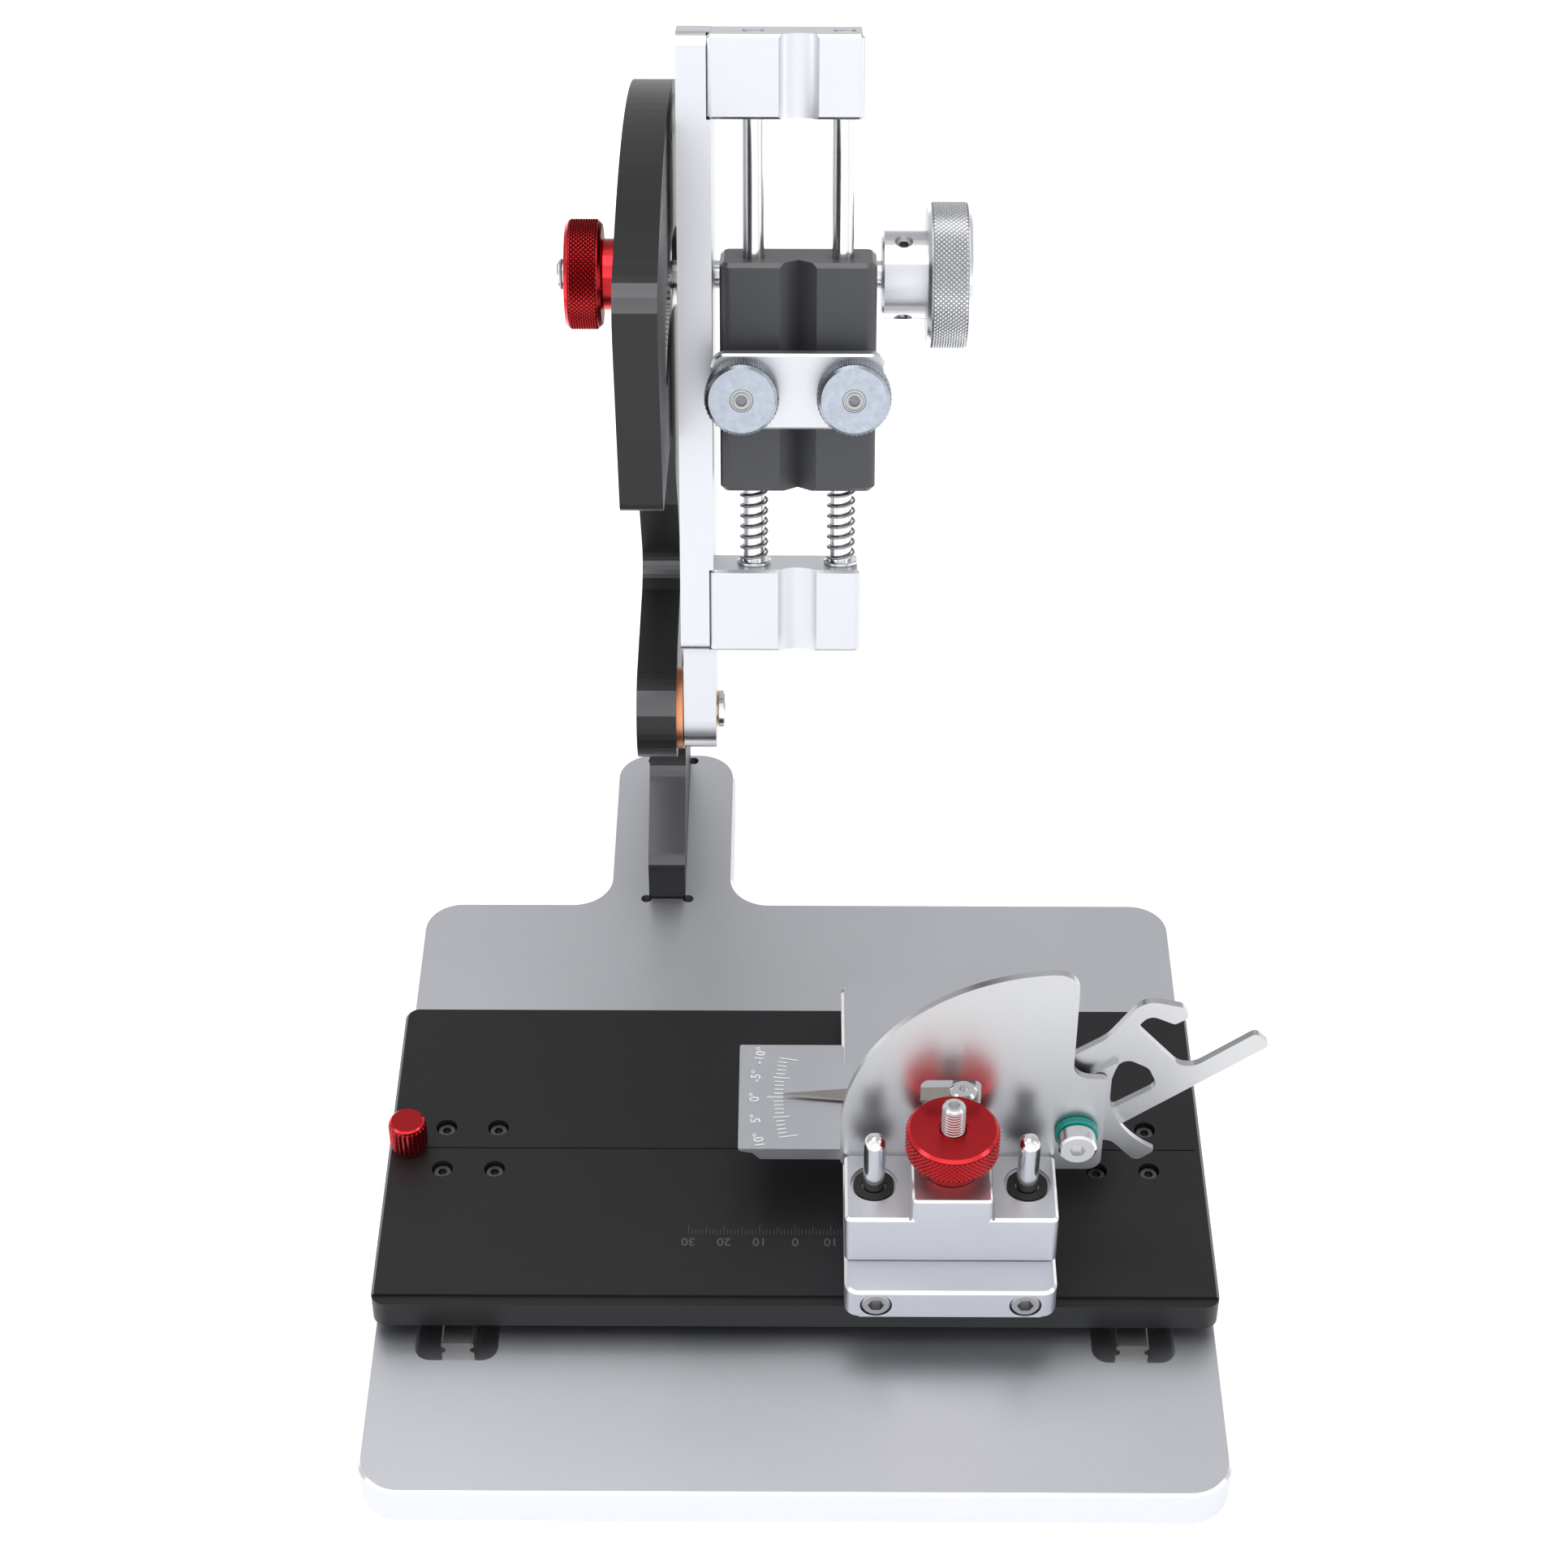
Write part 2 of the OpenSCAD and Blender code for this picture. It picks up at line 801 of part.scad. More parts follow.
module lift_stud() {
    top = saddle_top + pin_h + 12.2;
    color(chrome)
        translate([saddle_x, pin_y, saddle_z + 1.6])
            difference() {
                disc(stud_d / 2, top - saddle_z - 1.6, 0.6);
                translate([0, 0, top - saddle_z - 1.6])
                    hex_socket(3, 2.5);
            }
}

module head_block() {
    corner_x = face_neck_x + 12;
    color(silver)
        difference() {
            union() {
                translate([saddle_x, head_back - head_d / 2, head_z])
                    slab(saddle_w, head_d, head_h, 1.6, edge_c);
                translate([saddle_x, head_back - head_d / 2, head_top - 3])
                    slab(boss_w, head_d, boss_h + 3, 1.2, 0.6);
            }
            for (i = [-1, 1]) {
                translate([saddle_x + i * (boss_w / 2 + 0.4), head_back - head_d - 1, head_top - 0.5])
                    translate([-0.4, 0, 0])
                        cube([0.8, head_d + 2, 0.6]);
                translate([saddle_x + i * pin_x, pin_y, head_z - 1])
                    cylinder(r = bearing_d / 2 + fit, h = head_h + 2);
                translate([saddle_x + i * pin_x, pin_y, head_top - 1])
                    cylinder(r = bearing_d / 2 + 0.5, h = 2);
                translate([saddle_x + i * 11.5, head_back, quad_z0 + 3])
                    rotate([-90, 0, 0])
                        translate([0, 0, -9])
                            cylinder(r = 1.5 + fit, h = 10);
                translate([saddle_x + i * 9, head_back, bracket_z + 8.2])
                    rotate([-90, 0, 0])
                        translate([0, 0, -9])
                            cylinder(r = 1.5 + fit, h = 10);
            }
            translate([saddle_x, pin_y, head_z - 1])
                cylinder(r = stud_d / 2 + gap, h = head_h + boss_h + 2);
            translate([saddle_x, pin_y, boss_top - 5.5])
                cylinder(r = 6 + gap, h = 6);
            translate([saddle_x - saddle_w / 2 - 1, head_back - 4.4, face_z - 0.8])
                cube([corner_x - saddle_x + saddle_w / 2 + 1, 5, face_t + 1.7]);
            translate([saddle_x - saddle_w / 2 - 1, head_back - 5.6, face_z - 0.8])
                cube([4.4, 6, face_t + 1.7]);
        }
}

module linear_bearings() {
    color(steel)
        for (i = [-1, 1])
            translate([saddle_x + i * pin_x, pin_y, head_z + 0.6])
                difference() {
                    cylinder(d = bearing_d, h = head_h - 1.8);
                    translate([0, 0, -1])
                        cylinder(r = pin_d / 2 + fit, h = head_h + 2);
                }
}

module bearing_seals() {
    color(black)
        for (i = [-1, 1])
            translate([saddle_x + i * pin_x, pin_y, head_top - 1.2])
                difference() {
                    cylinder(d = bearing_d - 0.8, h = 0.8);
                    translate([0, 0, -1])
                        cylinder(r = pin_d / 2 + gap, h = 3);
                }
}

module loft_quadrant() {
    left = quad_cx - quad_r;
    right = loft_x - 2;
    step_x = loft_x + 7.5;
    top = quad_cz + quad_r - 0.2;
    color(chrome)
        difference() {
            xz_plate(head_back, quad_back)
                intersection() {
                    polygon(rounded([
                        [left, quad_z0, 4],
                        [step_x, quad_z0, 4],
                        [step_x, loft_z + 20.5, 2],
                        [right, loft_z + 20.5, 5],
                        [right, top, 6],
                        [left, top, 0]]));
                    union() {
                        translate([quad_cx, quad_cz])
                            circle(quad_r, $fn = 180);
                        translate([left - 1, quad_z0 - 1])
                            square([step_x - left + 2, quad_cz - quad_z0 + 1]);
                    }
                }
            xz_plate(head_back - 1, quad_back + 1)
                translate([saddle_x - 0.35, boss_top + 11.7])
                    round_rect(16.5, 20.5, 2.5);
            translate([loft_x, head_back - 1, loft_z])
                rotate([-90, 0, 0])
                    cylinder(r = loft_pin_d / 2 + fit, h = quad_t + 2);
            quadrant_screw_places()
                countersink(3, 6.4, 10);
        }
}

module quadrant_screw_places() {
    for (i = [-1, 1])
        translate([saddle_x + i * 11.5, quad_back, quad_z0 + 3])
            rotate([-90, 0, 0])
                children();
}

module quadrant_screws() {
    color(steel)
        quadrant_screw_places()
            flat_screw(3, 6.2, 8);
}

module swivel_bracket() {
    flange_x = saddle_x - 12.5;
    color(silver)
        difference() {
            union() {
                translate([flange_x, head_back, bracket_z])
                    cube([26, flange_t, 10.6]);
                translate([saddle_x - 5, head_back + 1, bracket_z])
                    cube([18.5, line_y + 7.5 - head_back - 1, bracket_t]);
                translate([post_x, line_y - 7.5, bracket_z])
                    cube([face_x - post_x, 15, bracket_t]);
                for (x = [post_x, face_x])
                    translate([x, line_y, bracket_z])
                        cylinder(r = 7.5, h = bracket_t);
                translate([post_x, line_y, bracket_z])
                    cylinder(r = 3, h = needle_z - bracket_z);
            }
            translate([post_x, line_y, bracket_z + 2])
                cylinder(r = 2 + fit, h = needle_z - bracket_z);
            translate([face_x, line_y, bracket_z - 1])
                cylinder(r = 4 + fit, h = bracket_t + 2);
            bracket_screw_places()
                countersink(3, 6.4, flange_t + 1);
        }
}

module bracket_screw_places() {
    for (i = [-1, 1])
        translate([saddle_x + i * 9, head_back + flange_t, bracket_z + 8.2])
            rotate([-90, 0, 0])
                children();
}

module bracket_screws() {
    color(steel)
        bracket_screw_places()
            flat_screw(3, 6.2, 11);
}

module face_pivot_pin() {
    color(chrome)
        translate([face_x, line_y, bracket_z])
            difference() {
                union() {
                    cylinder(r = 4, h = bracket_t + face_t + 2 * gap + 0.1);
                    translate([0, 0, bracket_t + face_t + 2 * gap])
                        disc(6, 2, 0.4);
                }
                translate([0, 0, bracket_t + face_t + 2 * gap + 2])
                    hex_socket(4, 1.4);
            }
}

module needle_pointer() {
    tip = face_x - 86.5;
    color("#8d857c")
        translate([0, line_y, needle_z])
            difference() {
                linear_extrude(needle_t) {
                    polygon([[tip, 0.1], [tip, -0.1], [tip + 17.2, -1.9],
                        [post_x, -2.8], [post_x, 2.8], [tip + 17.2, 1.9]]);
                    translate([post_x, 0])
                        circle(4.2);
                }
                translate([post_x, 0, -1])
                    cylinder(r = 2 + fit, h = 4);
            }
}

module needle_screw() {
    color(chrome)
        translate([post_x, line_y, needle_z + needle_t])
            difference() {
                union() {
                    disc(3.9, 2.2, 0.9);
                    translate([0, 0, -8])
                        cylinder(r = 2, h = 8.4);
                }
                translate([0, 0, 2.2])
                    hex_socket(2.5, 1.4);
            }
}

module loft_pivot_screw() {
    len = lever_back + gap + 3.9 - ring_y;
    color(chrome)
        translate([loft_x, ring_y, loft_z])
            rotate([90, 0, 0])
                difference() {
                    union() {
                        disc(loft_screw_head / 2, 5.2, 0.6);
                        translate([0, 0, -len])
                            cylinder(d = loft_pin_d, h = len + 0.5);
                    }
                    translate([0, 0, 5.2])
                        hex_socket(4, 2.6);
                }
}

module friction_ring() {
    color("#1f7f76")
        translate([loft_x, ring_y, loft_z])
            rotate([-90, 0, 0])
                difference() {
                    disc(6, 2.2, 0.3);
                    translate([0, 0, -1])
                        cylinder(r = loft_pin_d / 2 + fit, h = 5);
                }
}

module loft_pivot_nut() {
    color(steel)
        translate([loft_x, lever_back + gap, loft_z])
            rotate([-90, 0, 0])
                difference() {
                    cylinder(r = 8 / sqrt(3), h = 3.9, $fn = 6);
                    translate([0, 0, -1])
                        cylinder(r = loft_pin_d / 2 + fit, h = 6);
                }
}

module head_knob() {
    color(red)
        translate([saddle_x, pin_y, knob_z])
            difference() {
                union() {
                    translate([0, 0, knob_hub_h])
                        disc(knob_d / 2, knob_h, 0.8);
                    cylinder(r = 8, h = knob_hub_h + 0.5);
                    translate([0, 0, -5])
                        cylinder(r = 6, h = 5.5);
                }
                translate([0, 0, -6])
                    cylinder(r = stud_d / 2 + fit, h = knob_hub_h + knob_h + 8);
                translate([0, 0, knob_hub_h + knob_h])
                    cylinder(r1 = stud_d / 2, r2 = stud_d / 2 + 2.4, h = 1.6, center = true);
            }
}

// ------------------------------------------------------------- loft lever

// outline of the lever about its pivot: straight bar, hook and open window
module lever_outline() {
    bar = [cos(lever_a), sin(lever_a)];
    side = [sin(lever_a), -cos(lever_a)];
    t0 = bar * lever_len + side * 9;
    t1 = bar * (lever_len - 0.6) + side * 2.8;
    difference() {
        union() {
            circle(9);
            polygon(rounded([
                [side.x * 9, side.y * 9, 0],
                [t0.x, t0.y, 1.6],
                [t1.x, t1.y, 1.6],
                [28.7, 19.4, 5.4],
                [14.4, 36.4, 2.8],
                [17.8, 40.8, 2.8],
                [24.6, 37.4, 1.2],
                [28.6, 40.2, 2],
                [26.2, 43.9, 2],
                [15.8, 46.4, 6],
                [7.0, 32.0, 12],
                [-9, 20, 6],
                [-9, 0, 0]]));
        }
        polygon(rounded([
            [9.0, 4.0, 1.2],
            [21.8, 13.6, 3.4],
            [18.8, 20.6, 4],
            [12.6, 24.2, 3],
            [9.0, 20.4, 1.2]]));
    }
}

module loft_lever() {
    color(chrome)
        translate([loft_x, 0, loft_z])
            difference() {
                xz_plate(lever_y, lever_back)
                    lever_outline();
                translate([0, lever_y - 1, 0])
                    rotate([-90, 0, 0])
                        cylinder(r = loft_pin_d / 2 + fit, h = lever_t + 2);
            }
}

module loft_finger() {
    color(chrome)
        translate([loft_x, 0, loft_z])
            difference() {
                xz_plate(finger_y, lever_y)
                    difference() {
                        union() {
                            circle(8.5);
                            polygon(rounded([
                                [10.2, 24.6, 0.8],
                                [2.6, 19.2, 3],
                                [-8.4, 0, 0],
                                [0, -8.4, 0],
                                [9.4, -5.4, 4],
                                [17.4, -14.6, 2.2],
                                [22.4, -10.4, 2.2]]));
                        }
                        translate([36, 14])
                            circle(27.5);
                    }
                translate([0, finger_y - 1, 0])
                    rotate([-90, 0, 0])
                        cylinder(r = loft_pin_d / 2 + fit, h = finger_t + 2);
            }
}

// ------------------------------------------------------------- face plate

module face_outline() {
    left = -face_len;
    neck = face_neck_x - face_x;
    half = face_w / 2;
    waist = post_r * sin(face_max) + 6.4;
    polygon(rounded([
        [left, -half + 0.45, 0.6],
        [neck, -half + 0.45, 1.5],
        [neck, -waist, 1.5],
        [5.7, -waist, 4],
        [5.7, waist, 4],
        [neck, waist, 1.5],
        [neck, half + 0.45, 1.5],
        [left, half + 0.45, 0.6]]));
}

// arc slot that clears the needle post over the whole swivel
module post_slot() {
    a0 = 180 - face_max;
    a1 = 180 + face_max;
    o = [0, 0];
    r = 3 + gap;
    polygon(concat(
        arc(o, post_r + r, a0, a1, 10),
        arc(post_r * [cos(a1), sin(a1)], r, a1 + 18, a1 + 162, 8),
        arc(o, post_r - r, a1, a0, 10),
        arc(post_r * [cos(a0), sin(a0)], r, a0 + 198, a0 + 342, 8)));
}

module face_plate() {
    color(silver)
        translate([face_x, line_y, face_z])
            difference() {
                linear_extrude(face_t)
                    face_outline();
                translate([0, 0, -1])
                    cylinder(r = 4 + fit, h = face_t + 2);
                translate([0, 0, -1])
                    linear_extrude(face_t + 2)
                        post_slot();
                translate([0, face_w, 0])
                    rotate([90, 0, 0])
                        linear_extrude(2 * face_w)
                            polygon([[-face_len - 1, -1], [-face_len + 7, -1],
                                [-face_len + 5, 1.4], [-face_len + 4, 2.5],
                                [-face_len - 1, face_t - 0.6]]);
            }
}

// ---------------------------------------------------------------- lie arm

module arm_plate() {
    rear = 18;
    color(silver)
        on_arm()
            difference() {
                yz_plate(arm_x0, arm_x1)
                    union() {
                        circle(11.5);
                        polygon(rounded([
                            [11.5, 0, 0],
                            [14, 46, 30],
                            [rear, 90, 30],
                            [rear, arm_len - 14, 8],
                            [-15, arm_len, 8],
                            [-arm_front, arm_len, 5],
                            [-arm_front, lower_s, 2.5],
                            [-11.5, lower_s - 1.5, 6],
                            [-11.5, 0, 0]]));
                    }
                along_x(arm_x0 - 1)
                    cylinder(r = 6 + fit, h = arm_t + 2);
                translate([0, 0, pinion_r])
                    along_x(arm_x0 - 1)
                        cylinder(r = shaft_d / 2 + fit, h = arm_t + 2);
                translate([block_x0, -arm_front - 1, lower_s])
                    cube([block_in + 1, block_d + 1, lower_h]);
                translate([block_x0, -arm_front - 1, upper_s])
                    cube([block_in + 1, block_d + 1, upper_h]);
                block_screw_places() {
                    cylinder(r = 2.5 + fit, h = 40);
                    translate([0, 0, -1])
                        cylinder(r = 4.5, h = 6.4);
                }
            }
}

// screws run along X from the arm's column side
module block_screw_places() {
    for (s = [lower_s + 6, lower_s + lower_h - 6, upper_s + 5.6, upper_s + upper_h - 5.6])
        translate([0, -rod_h, s])
            along_x(arm_x0)
                children();
}

module shaft_block(s, h) {
    on_arm()
        difference() {
            translate([block_x0 + block_w / 2, -arm_front + block_d / 2, s])
                slab(block_w, block_d, h, 1.5, edge_c);
            translate([0, -shaft_h, s - 1])
                cylinder(r = relief_r, h = h + 2);
            for (i = [-1, 1])
                translate([i * rod_x, -rod_h, s - 1])
                    cylinder(r = rod_d / 2 + fit, h = h + 2);
            block_screw_places()
                cylinder(r = 2.5 + fit, h = arm_t + 8);
        }
}

module lower_block() {
    color(silver)
        shaft_block(lower_s, lower_h);
}

module upper_block() {
    color(silver)
        shaft_block(upper_s, upper_h);
}

module block_screws() {
    color(steel)
        on_arm()
            block_screw_places()
                translate([0, 0, 5.4])
                    mirror([0, 0, 1])
                        cap_screw(5, 8.5, arm_t + 2);
}

module guide_rods() {
    color(chrome)
        on_arm()
            for (i = [-1, 1])
                translate([i * rod_x, -rod_h, lower_s + 0.5])
                    disc(rod_d / 2, upper_s + upper_h - lower_s - 1, 0.5);
}

module pivot_bush() {
    color("#b98a3c")
        on_arm()
            along_x(arm_x0)
                difference() {
                    cylinder(r = 6, h = arm_t);
                    translate([0, 0, -1])
                        cylinder(r = shaft_d / 2 + fit, h = arm_t + 2);
                }
}

module spring_seats() {
    color(chrome)
        on_arm()
            for (i = [-1, 1])
                translate([i * rod_x, -rod_h, lower_s + lower_h])
                    difference() {
                        disc(4.75, seat_h, 0.3);
                        translate([0, 0, -1])
                            cylinder(r = rod_d / 2 + fit, h = seat_h + 2);
                    }
}

// a round wire wound about Z from z0 to z1, with closed end turns
module coil(r, wire, z0, z1, turns) {
    sides = 6;
    steps = turns * 18;
    h = z1 - z0 - wire;
    function rise(t) = t < 0.14 ? t * 0.45 : t > 0.86 ? 1 - (1 - t) * 0.45
        : 0.063 + (t - 0.14) * (1 - 0.126) / 0.72;
    function ring(i) =
        let (a = 360 * turns * i / steps, z = z0 + wire / 2 + h * rise(i / steps))
        [for (j = [0:sides - 1])
            let (b = 360 * j / sides, q = r + wire / 2 * cos(b))
            [q * cos(a), q * sin(a), z + wire / 2 * sin(b)]];
    polyhedron(
        points = [for (i = [0:steps]) each ring(i)],
        faces = concat(
            [[for (j = [0:sides - 1]) j]],
            [for (i = [0:steps - 1], j = [0:sides - 1])
                [i * sides + j, (i + 1) * sides + j,
                    (i + 1) * sides + (j + 1) % sides, i * sides + (j + 1) % sides]],
            [[for (j = [sides - 1:-1:0]) steps * sides + j]]));
}

module shaft_springs() {
    z0 = lower_s + lower_h + seat_h + 0.1;
    color(steel)
        on_arm()
            for (i = [-1, 1])
                translate([i * rod_x, -rod_h, 0])
                    coil(spring_r, wire_d, z0, clamp_s - 0.2, spring_turns);
}

// ------------------------------------------------- pinion and its knobs

module pinion_shaft() {
    color(chrome)
        on_arm()
            translate([0, 0, pinion_r])
                along_x(column_x0 - 21)
                    disc(shaft_d / 2, knob_x0 + 11 - column_x0 + 21, 0.6);
}

module lie_pinion() {
    color(steel)
        on_arm()
            difference() {
                yz_plate(column_x0 + 0.5, column_x0 + 0.5 + gear_t)
                    translate([0, pinion_r]) {
                        circle(pinion_z / 2 - 1.25);
                        for (i = [0:pinion_z - 1])
                            rotate(-90 + (i + 0.5) * 360 / pinion_z)
                                polygon(tooth(pinion_z, pinion_z / 2 - 1.4, pinion_z / 2 + 1));
                    }
                translate([0, 0, pinion_r])
                    along_x(column_x0 - 1)
                        cylinder(r = shaft_d / 2 + fit, h = column_t + 4);
            }
}

module set_screw_places() {
    for (a = [-62, 62])
        translate([knob_x0 + 6, 0, pinion_r])
            rotate([90 + a, 0, 0])
                translate([0, 0, shaft_d / 2 + 0.1])
                    children();
}

module lie_knob() {
    hub_r = lie_knob_d * 0.3 + 0.3;
    color(silver)
        on_arm()
            difference() {
                union() {
                    translate([0, 0, pinion_r])
                        along_x(knob_x0)
                            disc(hub_r, knob_hub_len + 1, 0.6);
                    translate([0, 0, pinion_r])
                        along_x(knob_x0 + knob_hub_len)
                            disc(lie_knob_d / 2, 12.3, 1);
                }
                translate([0, 0, pinion_r])
                    along_x(knob_x0 - 1)
                        cylinder(r = shaft_d / 2 + fit, h = 12.1);
                set_screw_places()
                    cylinder(r = 2.5 + fit, h = lie_knob_d / 2);
            }
}

module knob_set_screws() {
    color(steel)
        on_arm()
            set_screw_places()
                difference() {
                    cylinder(r = 2.5, h = 7);
                    translate([0, 0, 7])
                        hex_socket(2.5, 2.5);
                }
}

module lie_lock_knob() {
    disc_len = 10.2;
    hub_len = 6.4;
    x1 = column_x0 - gap - 1.5;
    color(red)
        on_arm()
            translate([0, 0, pinion_r])
                difference() {
                    union() {
                        along_x(x1 - hub_len)
                            disc(lock_hub_d / 2, hub_len, 0.5);
                        along_x(x1 - hub_len - disc_len)
                            disc(lie_lock_d / 2, disc_len + 0.01, 0.9);
                    }
                    along_x(x1 - 30)
                        cylinder(r = shaft_d / 2 + fit, h = 40);
                }
}

module lock_washer() {
    color(steel)
        on_arm()
            translate([0, 0, pinion_r])
                along_x(column_x0 - gap - 1.5)
                    difference() {
                        disc(slot_end_r + 2.2, 1.5, 0.2);
                        translate([0, 0, -1])
                            cylinder(r = shaft_d / 2 + fit, h = 4);
                    }
}

// ------------------------------------------------------------ shaft clamp

module clamp_block() {
    color(black)
        on_arm()
            difference() {
                translate([0, -clamp_h0 - clamp_t / 2, clamp_s])
                    slab(clamp_w, clamp_t, clamp_h, 3, 1.2);
                translate([0, -clamp_front, clamp_s - 1])
                    linear_extrude(clamp_h + 2)
                        polygon([[-vee_w / 2 - 1, -1], [0, vee_w / 2], [vee_w / 2 + 1, -1]]);
                for (i = [-1, 1]) {
                    translate([i * rod_x, -rod_h, clamp_s - 1])
                        cylinder(r = rod_d / 2 + gap, h = clamp_h + 2);
                    for (s = [clamp_s, clamp_s + clamp_h - bush_len])
                        translate([i * rod_x, -rod_h, s])
                            translate([0, 0, s > clamp_s ? 0 : -1])
                                cylinder(r = bush_d / 2 + fit, h = bush_len + 1);
                    translate([i * thumb_x, -clamp_front - 1, plate_s])
                        rotate([-90, 0, 0])
                            cylinder(r = rod_d / 2 + fit, h = clamp_front + 1 - 26.5);
                }
            }
}

module rod_bushes() {
    color("#b98a3c")
        on_arm()
            for (i = [-1, 1], s = [clamp_s, clamp_s + clamp_h - bush_len])
                translate([i * rod_x, -rod_h, s])
                    difference() {
                        cylinder(d = bush_d, h = bush_len);
                        translate([0, 0, -1])
                            cylinder(r = rod_d / 2 + fit, h = bush_len + 2);
                    }
}

module clamp_plate() {
    color(silver)
        on_arm()
            translate([0, -plate_h, plate_s])
                rotate([90, 0, 0])
                    difference() {
                        slab(plate_w, 21, plate_t, 4, 0.6);
                        for (i = [-1, 1])
                            translate([i * thumb_x, 0, -1])
                                cylinder(r = 3 + gap, h = plate_t + 2);
                    }
}

module thumb_screw(side) {
    color(zinc)
        on_arm()
            translate([side * thumb_x, -plate_h - plate_t - gap, plate_s])
                rotate([90, 0, 0])
                    difference() {
                        union() {
                            disc(thumb_d / 2, thumb_h, 0.8);
                            translate([0, 0, -thumb_shank])
                                cylinder(r = 3, h = thumb_shank + 0.5);
                        }
                        translate([0, 0, thumb_h - 1.6])
                            cylinder(r = 3.2, h = 2);
                        translate([0, 0, thumb_h - 1.6])
                            hex_socket(3, 3);
                    }
}

module thumb_screw_left() {
    thumb_screw(-1);
}

module thumb_screw_right() {
    thumb_screw(1);
}

base_plate();
rail_left();
rail_right();
rail_screws();
column();
column_screws();
lie_rack();
pivot_pin();
pivot_nut();
thrust_washer();
cross_table();
carriage_left();
carriage_right();
carriage_caps();
carriage_screws();
table_lock_knob();
saddle_plate();
gib_screws();
guide_pins();
lift_stud();
head_block();
linear_bearings();
bearing_seals();
loft_quadrant();
quadrant_screws();
swivel_bracket();
bracket_screws();
face_pivot_pin();
needle_pointer();
needle_screw();
loft_pivot_screw();
friction_ring();
loft_pivot_nut();
head_knob();
loft_lever();
loft_finger();
face_plate();
arm_plate();
lower_block();
upper_block();
block_screws();
guide_rods();
pivot_bush();
spring_seats();
shaft_springs();
pinion_shaft();
lie_pinion();
lie_knob();
knob_set_screws();
lie_lock_knob();
lock_washer();
clamp_block();
rod_bushes();
clamp_plate();
thumb_screw_left();
thumb_screw_right();
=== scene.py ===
"""Looks of a golf club angle gauge: finishes, knurls, springs, threads, scales and stage."""
import json
import math

import bmesh
import bpy
from bpy.props import FloatProperty, FloatVectorProperty, IntProperty, PointerProperty
from mathutils import Matrix, Vector


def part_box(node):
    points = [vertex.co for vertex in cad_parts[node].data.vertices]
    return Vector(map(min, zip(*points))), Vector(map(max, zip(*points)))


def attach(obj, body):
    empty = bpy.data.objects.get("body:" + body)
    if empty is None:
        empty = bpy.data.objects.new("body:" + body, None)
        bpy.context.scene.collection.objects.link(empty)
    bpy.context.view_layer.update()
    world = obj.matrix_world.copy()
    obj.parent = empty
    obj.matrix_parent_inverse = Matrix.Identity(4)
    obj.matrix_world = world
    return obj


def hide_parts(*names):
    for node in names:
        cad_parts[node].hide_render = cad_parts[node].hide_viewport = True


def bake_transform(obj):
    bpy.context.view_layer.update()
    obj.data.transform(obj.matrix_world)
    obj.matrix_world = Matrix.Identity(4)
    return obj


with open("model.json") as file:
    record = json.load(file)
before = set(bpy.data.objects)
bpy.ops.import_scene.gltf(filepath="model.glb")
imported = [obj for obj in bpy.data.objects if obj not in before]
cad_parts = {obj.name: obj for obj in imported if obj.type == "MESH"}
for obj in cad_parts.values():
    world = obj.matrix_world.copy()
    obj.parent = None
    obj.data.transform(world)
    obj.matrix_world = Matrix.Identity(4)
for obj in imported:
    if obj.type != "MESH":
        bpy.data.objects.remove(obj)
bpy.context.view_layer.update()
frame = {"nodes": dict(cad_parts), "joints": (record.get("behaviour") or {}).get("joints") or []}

bl_info = {
    "name": "Golf club angle gauge",
    "version": (1, 0, 0),
    "blender": (4, 5, 0),
    "location": "View3D > Sidebar > Gauge",
    "description": "Finishes, knurls, threads, scales and stage of the gauge",
    "category": "Object",
}

MM = 0.001
LIE_REST = 70.5
THUMB_ALONG = 107.5 * MM
ROD_OUT = 22.5 * MM
ROD_X = 12.25 * MM
# how far thin scale marks stand off the face they are on
LIFT = 0.012 * MM
# painted light: the clamp block's black is the table's and the column's black lightened 4.5 times,
# for the light it catches
ARM_BLACK_LIT = 4.5
JOINTS = {j["name"]: j for j in frame["joints"]}
PIVOT = Vector(JOINTS["lie_tilt"]["pos_m"])
UP_ARM = Vector((0, math.cos(math.radians(LIE_REST)), math.sin(math.radians(LIE_REST))))
OFF_ARM = Vector((0, -UP_ARM.z, UP_ARM.y))


# ---------------------------------------------------------------- settings

def colour(name, description, default):
    return FloatVectorProperty(name=name, description=description, default=default,
                               size=3, min=0, max=1, subtype="COLOR")


class GaugeFinishes(bpy.types.PropertyGroup):
    silver: colour("Silver", "Clear anodised aluminium", (0.7, 0.715, 0.76))
    black: colour("Black", "Black anodised aluminium", (0.0145, 0.015, 0.0165))
    red: colour("Red", "Red anodised aluminium", (0.5, 0.026, 0.032))
    zinc: colour("Zinc", "Zinc plated thumb screws", (0.42, 0.46, 0.53))
    teal: colour("Teal", "Plastic friction ring", (0.0, 0.22, 0.19))
    grain: FloatProperty(name="Blast grain", description="Grains per metre of the blasted finish",
                         default=2600, min=500, max=6000)


class GaugeDetails(bpy.types.PropertyGroup):
    knurl_pitch: FloatProperty(name="Knurl pitch", description="Width of one knurl diamond",
                               default=0.00135, min=0.0006, max=0.002, unit="LENGTH", precision=5)
    knurl_height: FloatProperty(name="Knurl height", description="Height of a knurl diamond",
                                default=0.00042, min=0.0001, max=0.0006, unit="LENGTH", precision=5)
    numeral: FloatProperty(name="Numeral height", description="Height of the scale numerals",
                           default=0.0034, min=0.002, max=0.006, unit="LENGTH", precision=4)
    thread_sides: IntProperty(name="Thread sides", description="Sides of a thread's rings",
                              default=40, min=16, max=64)


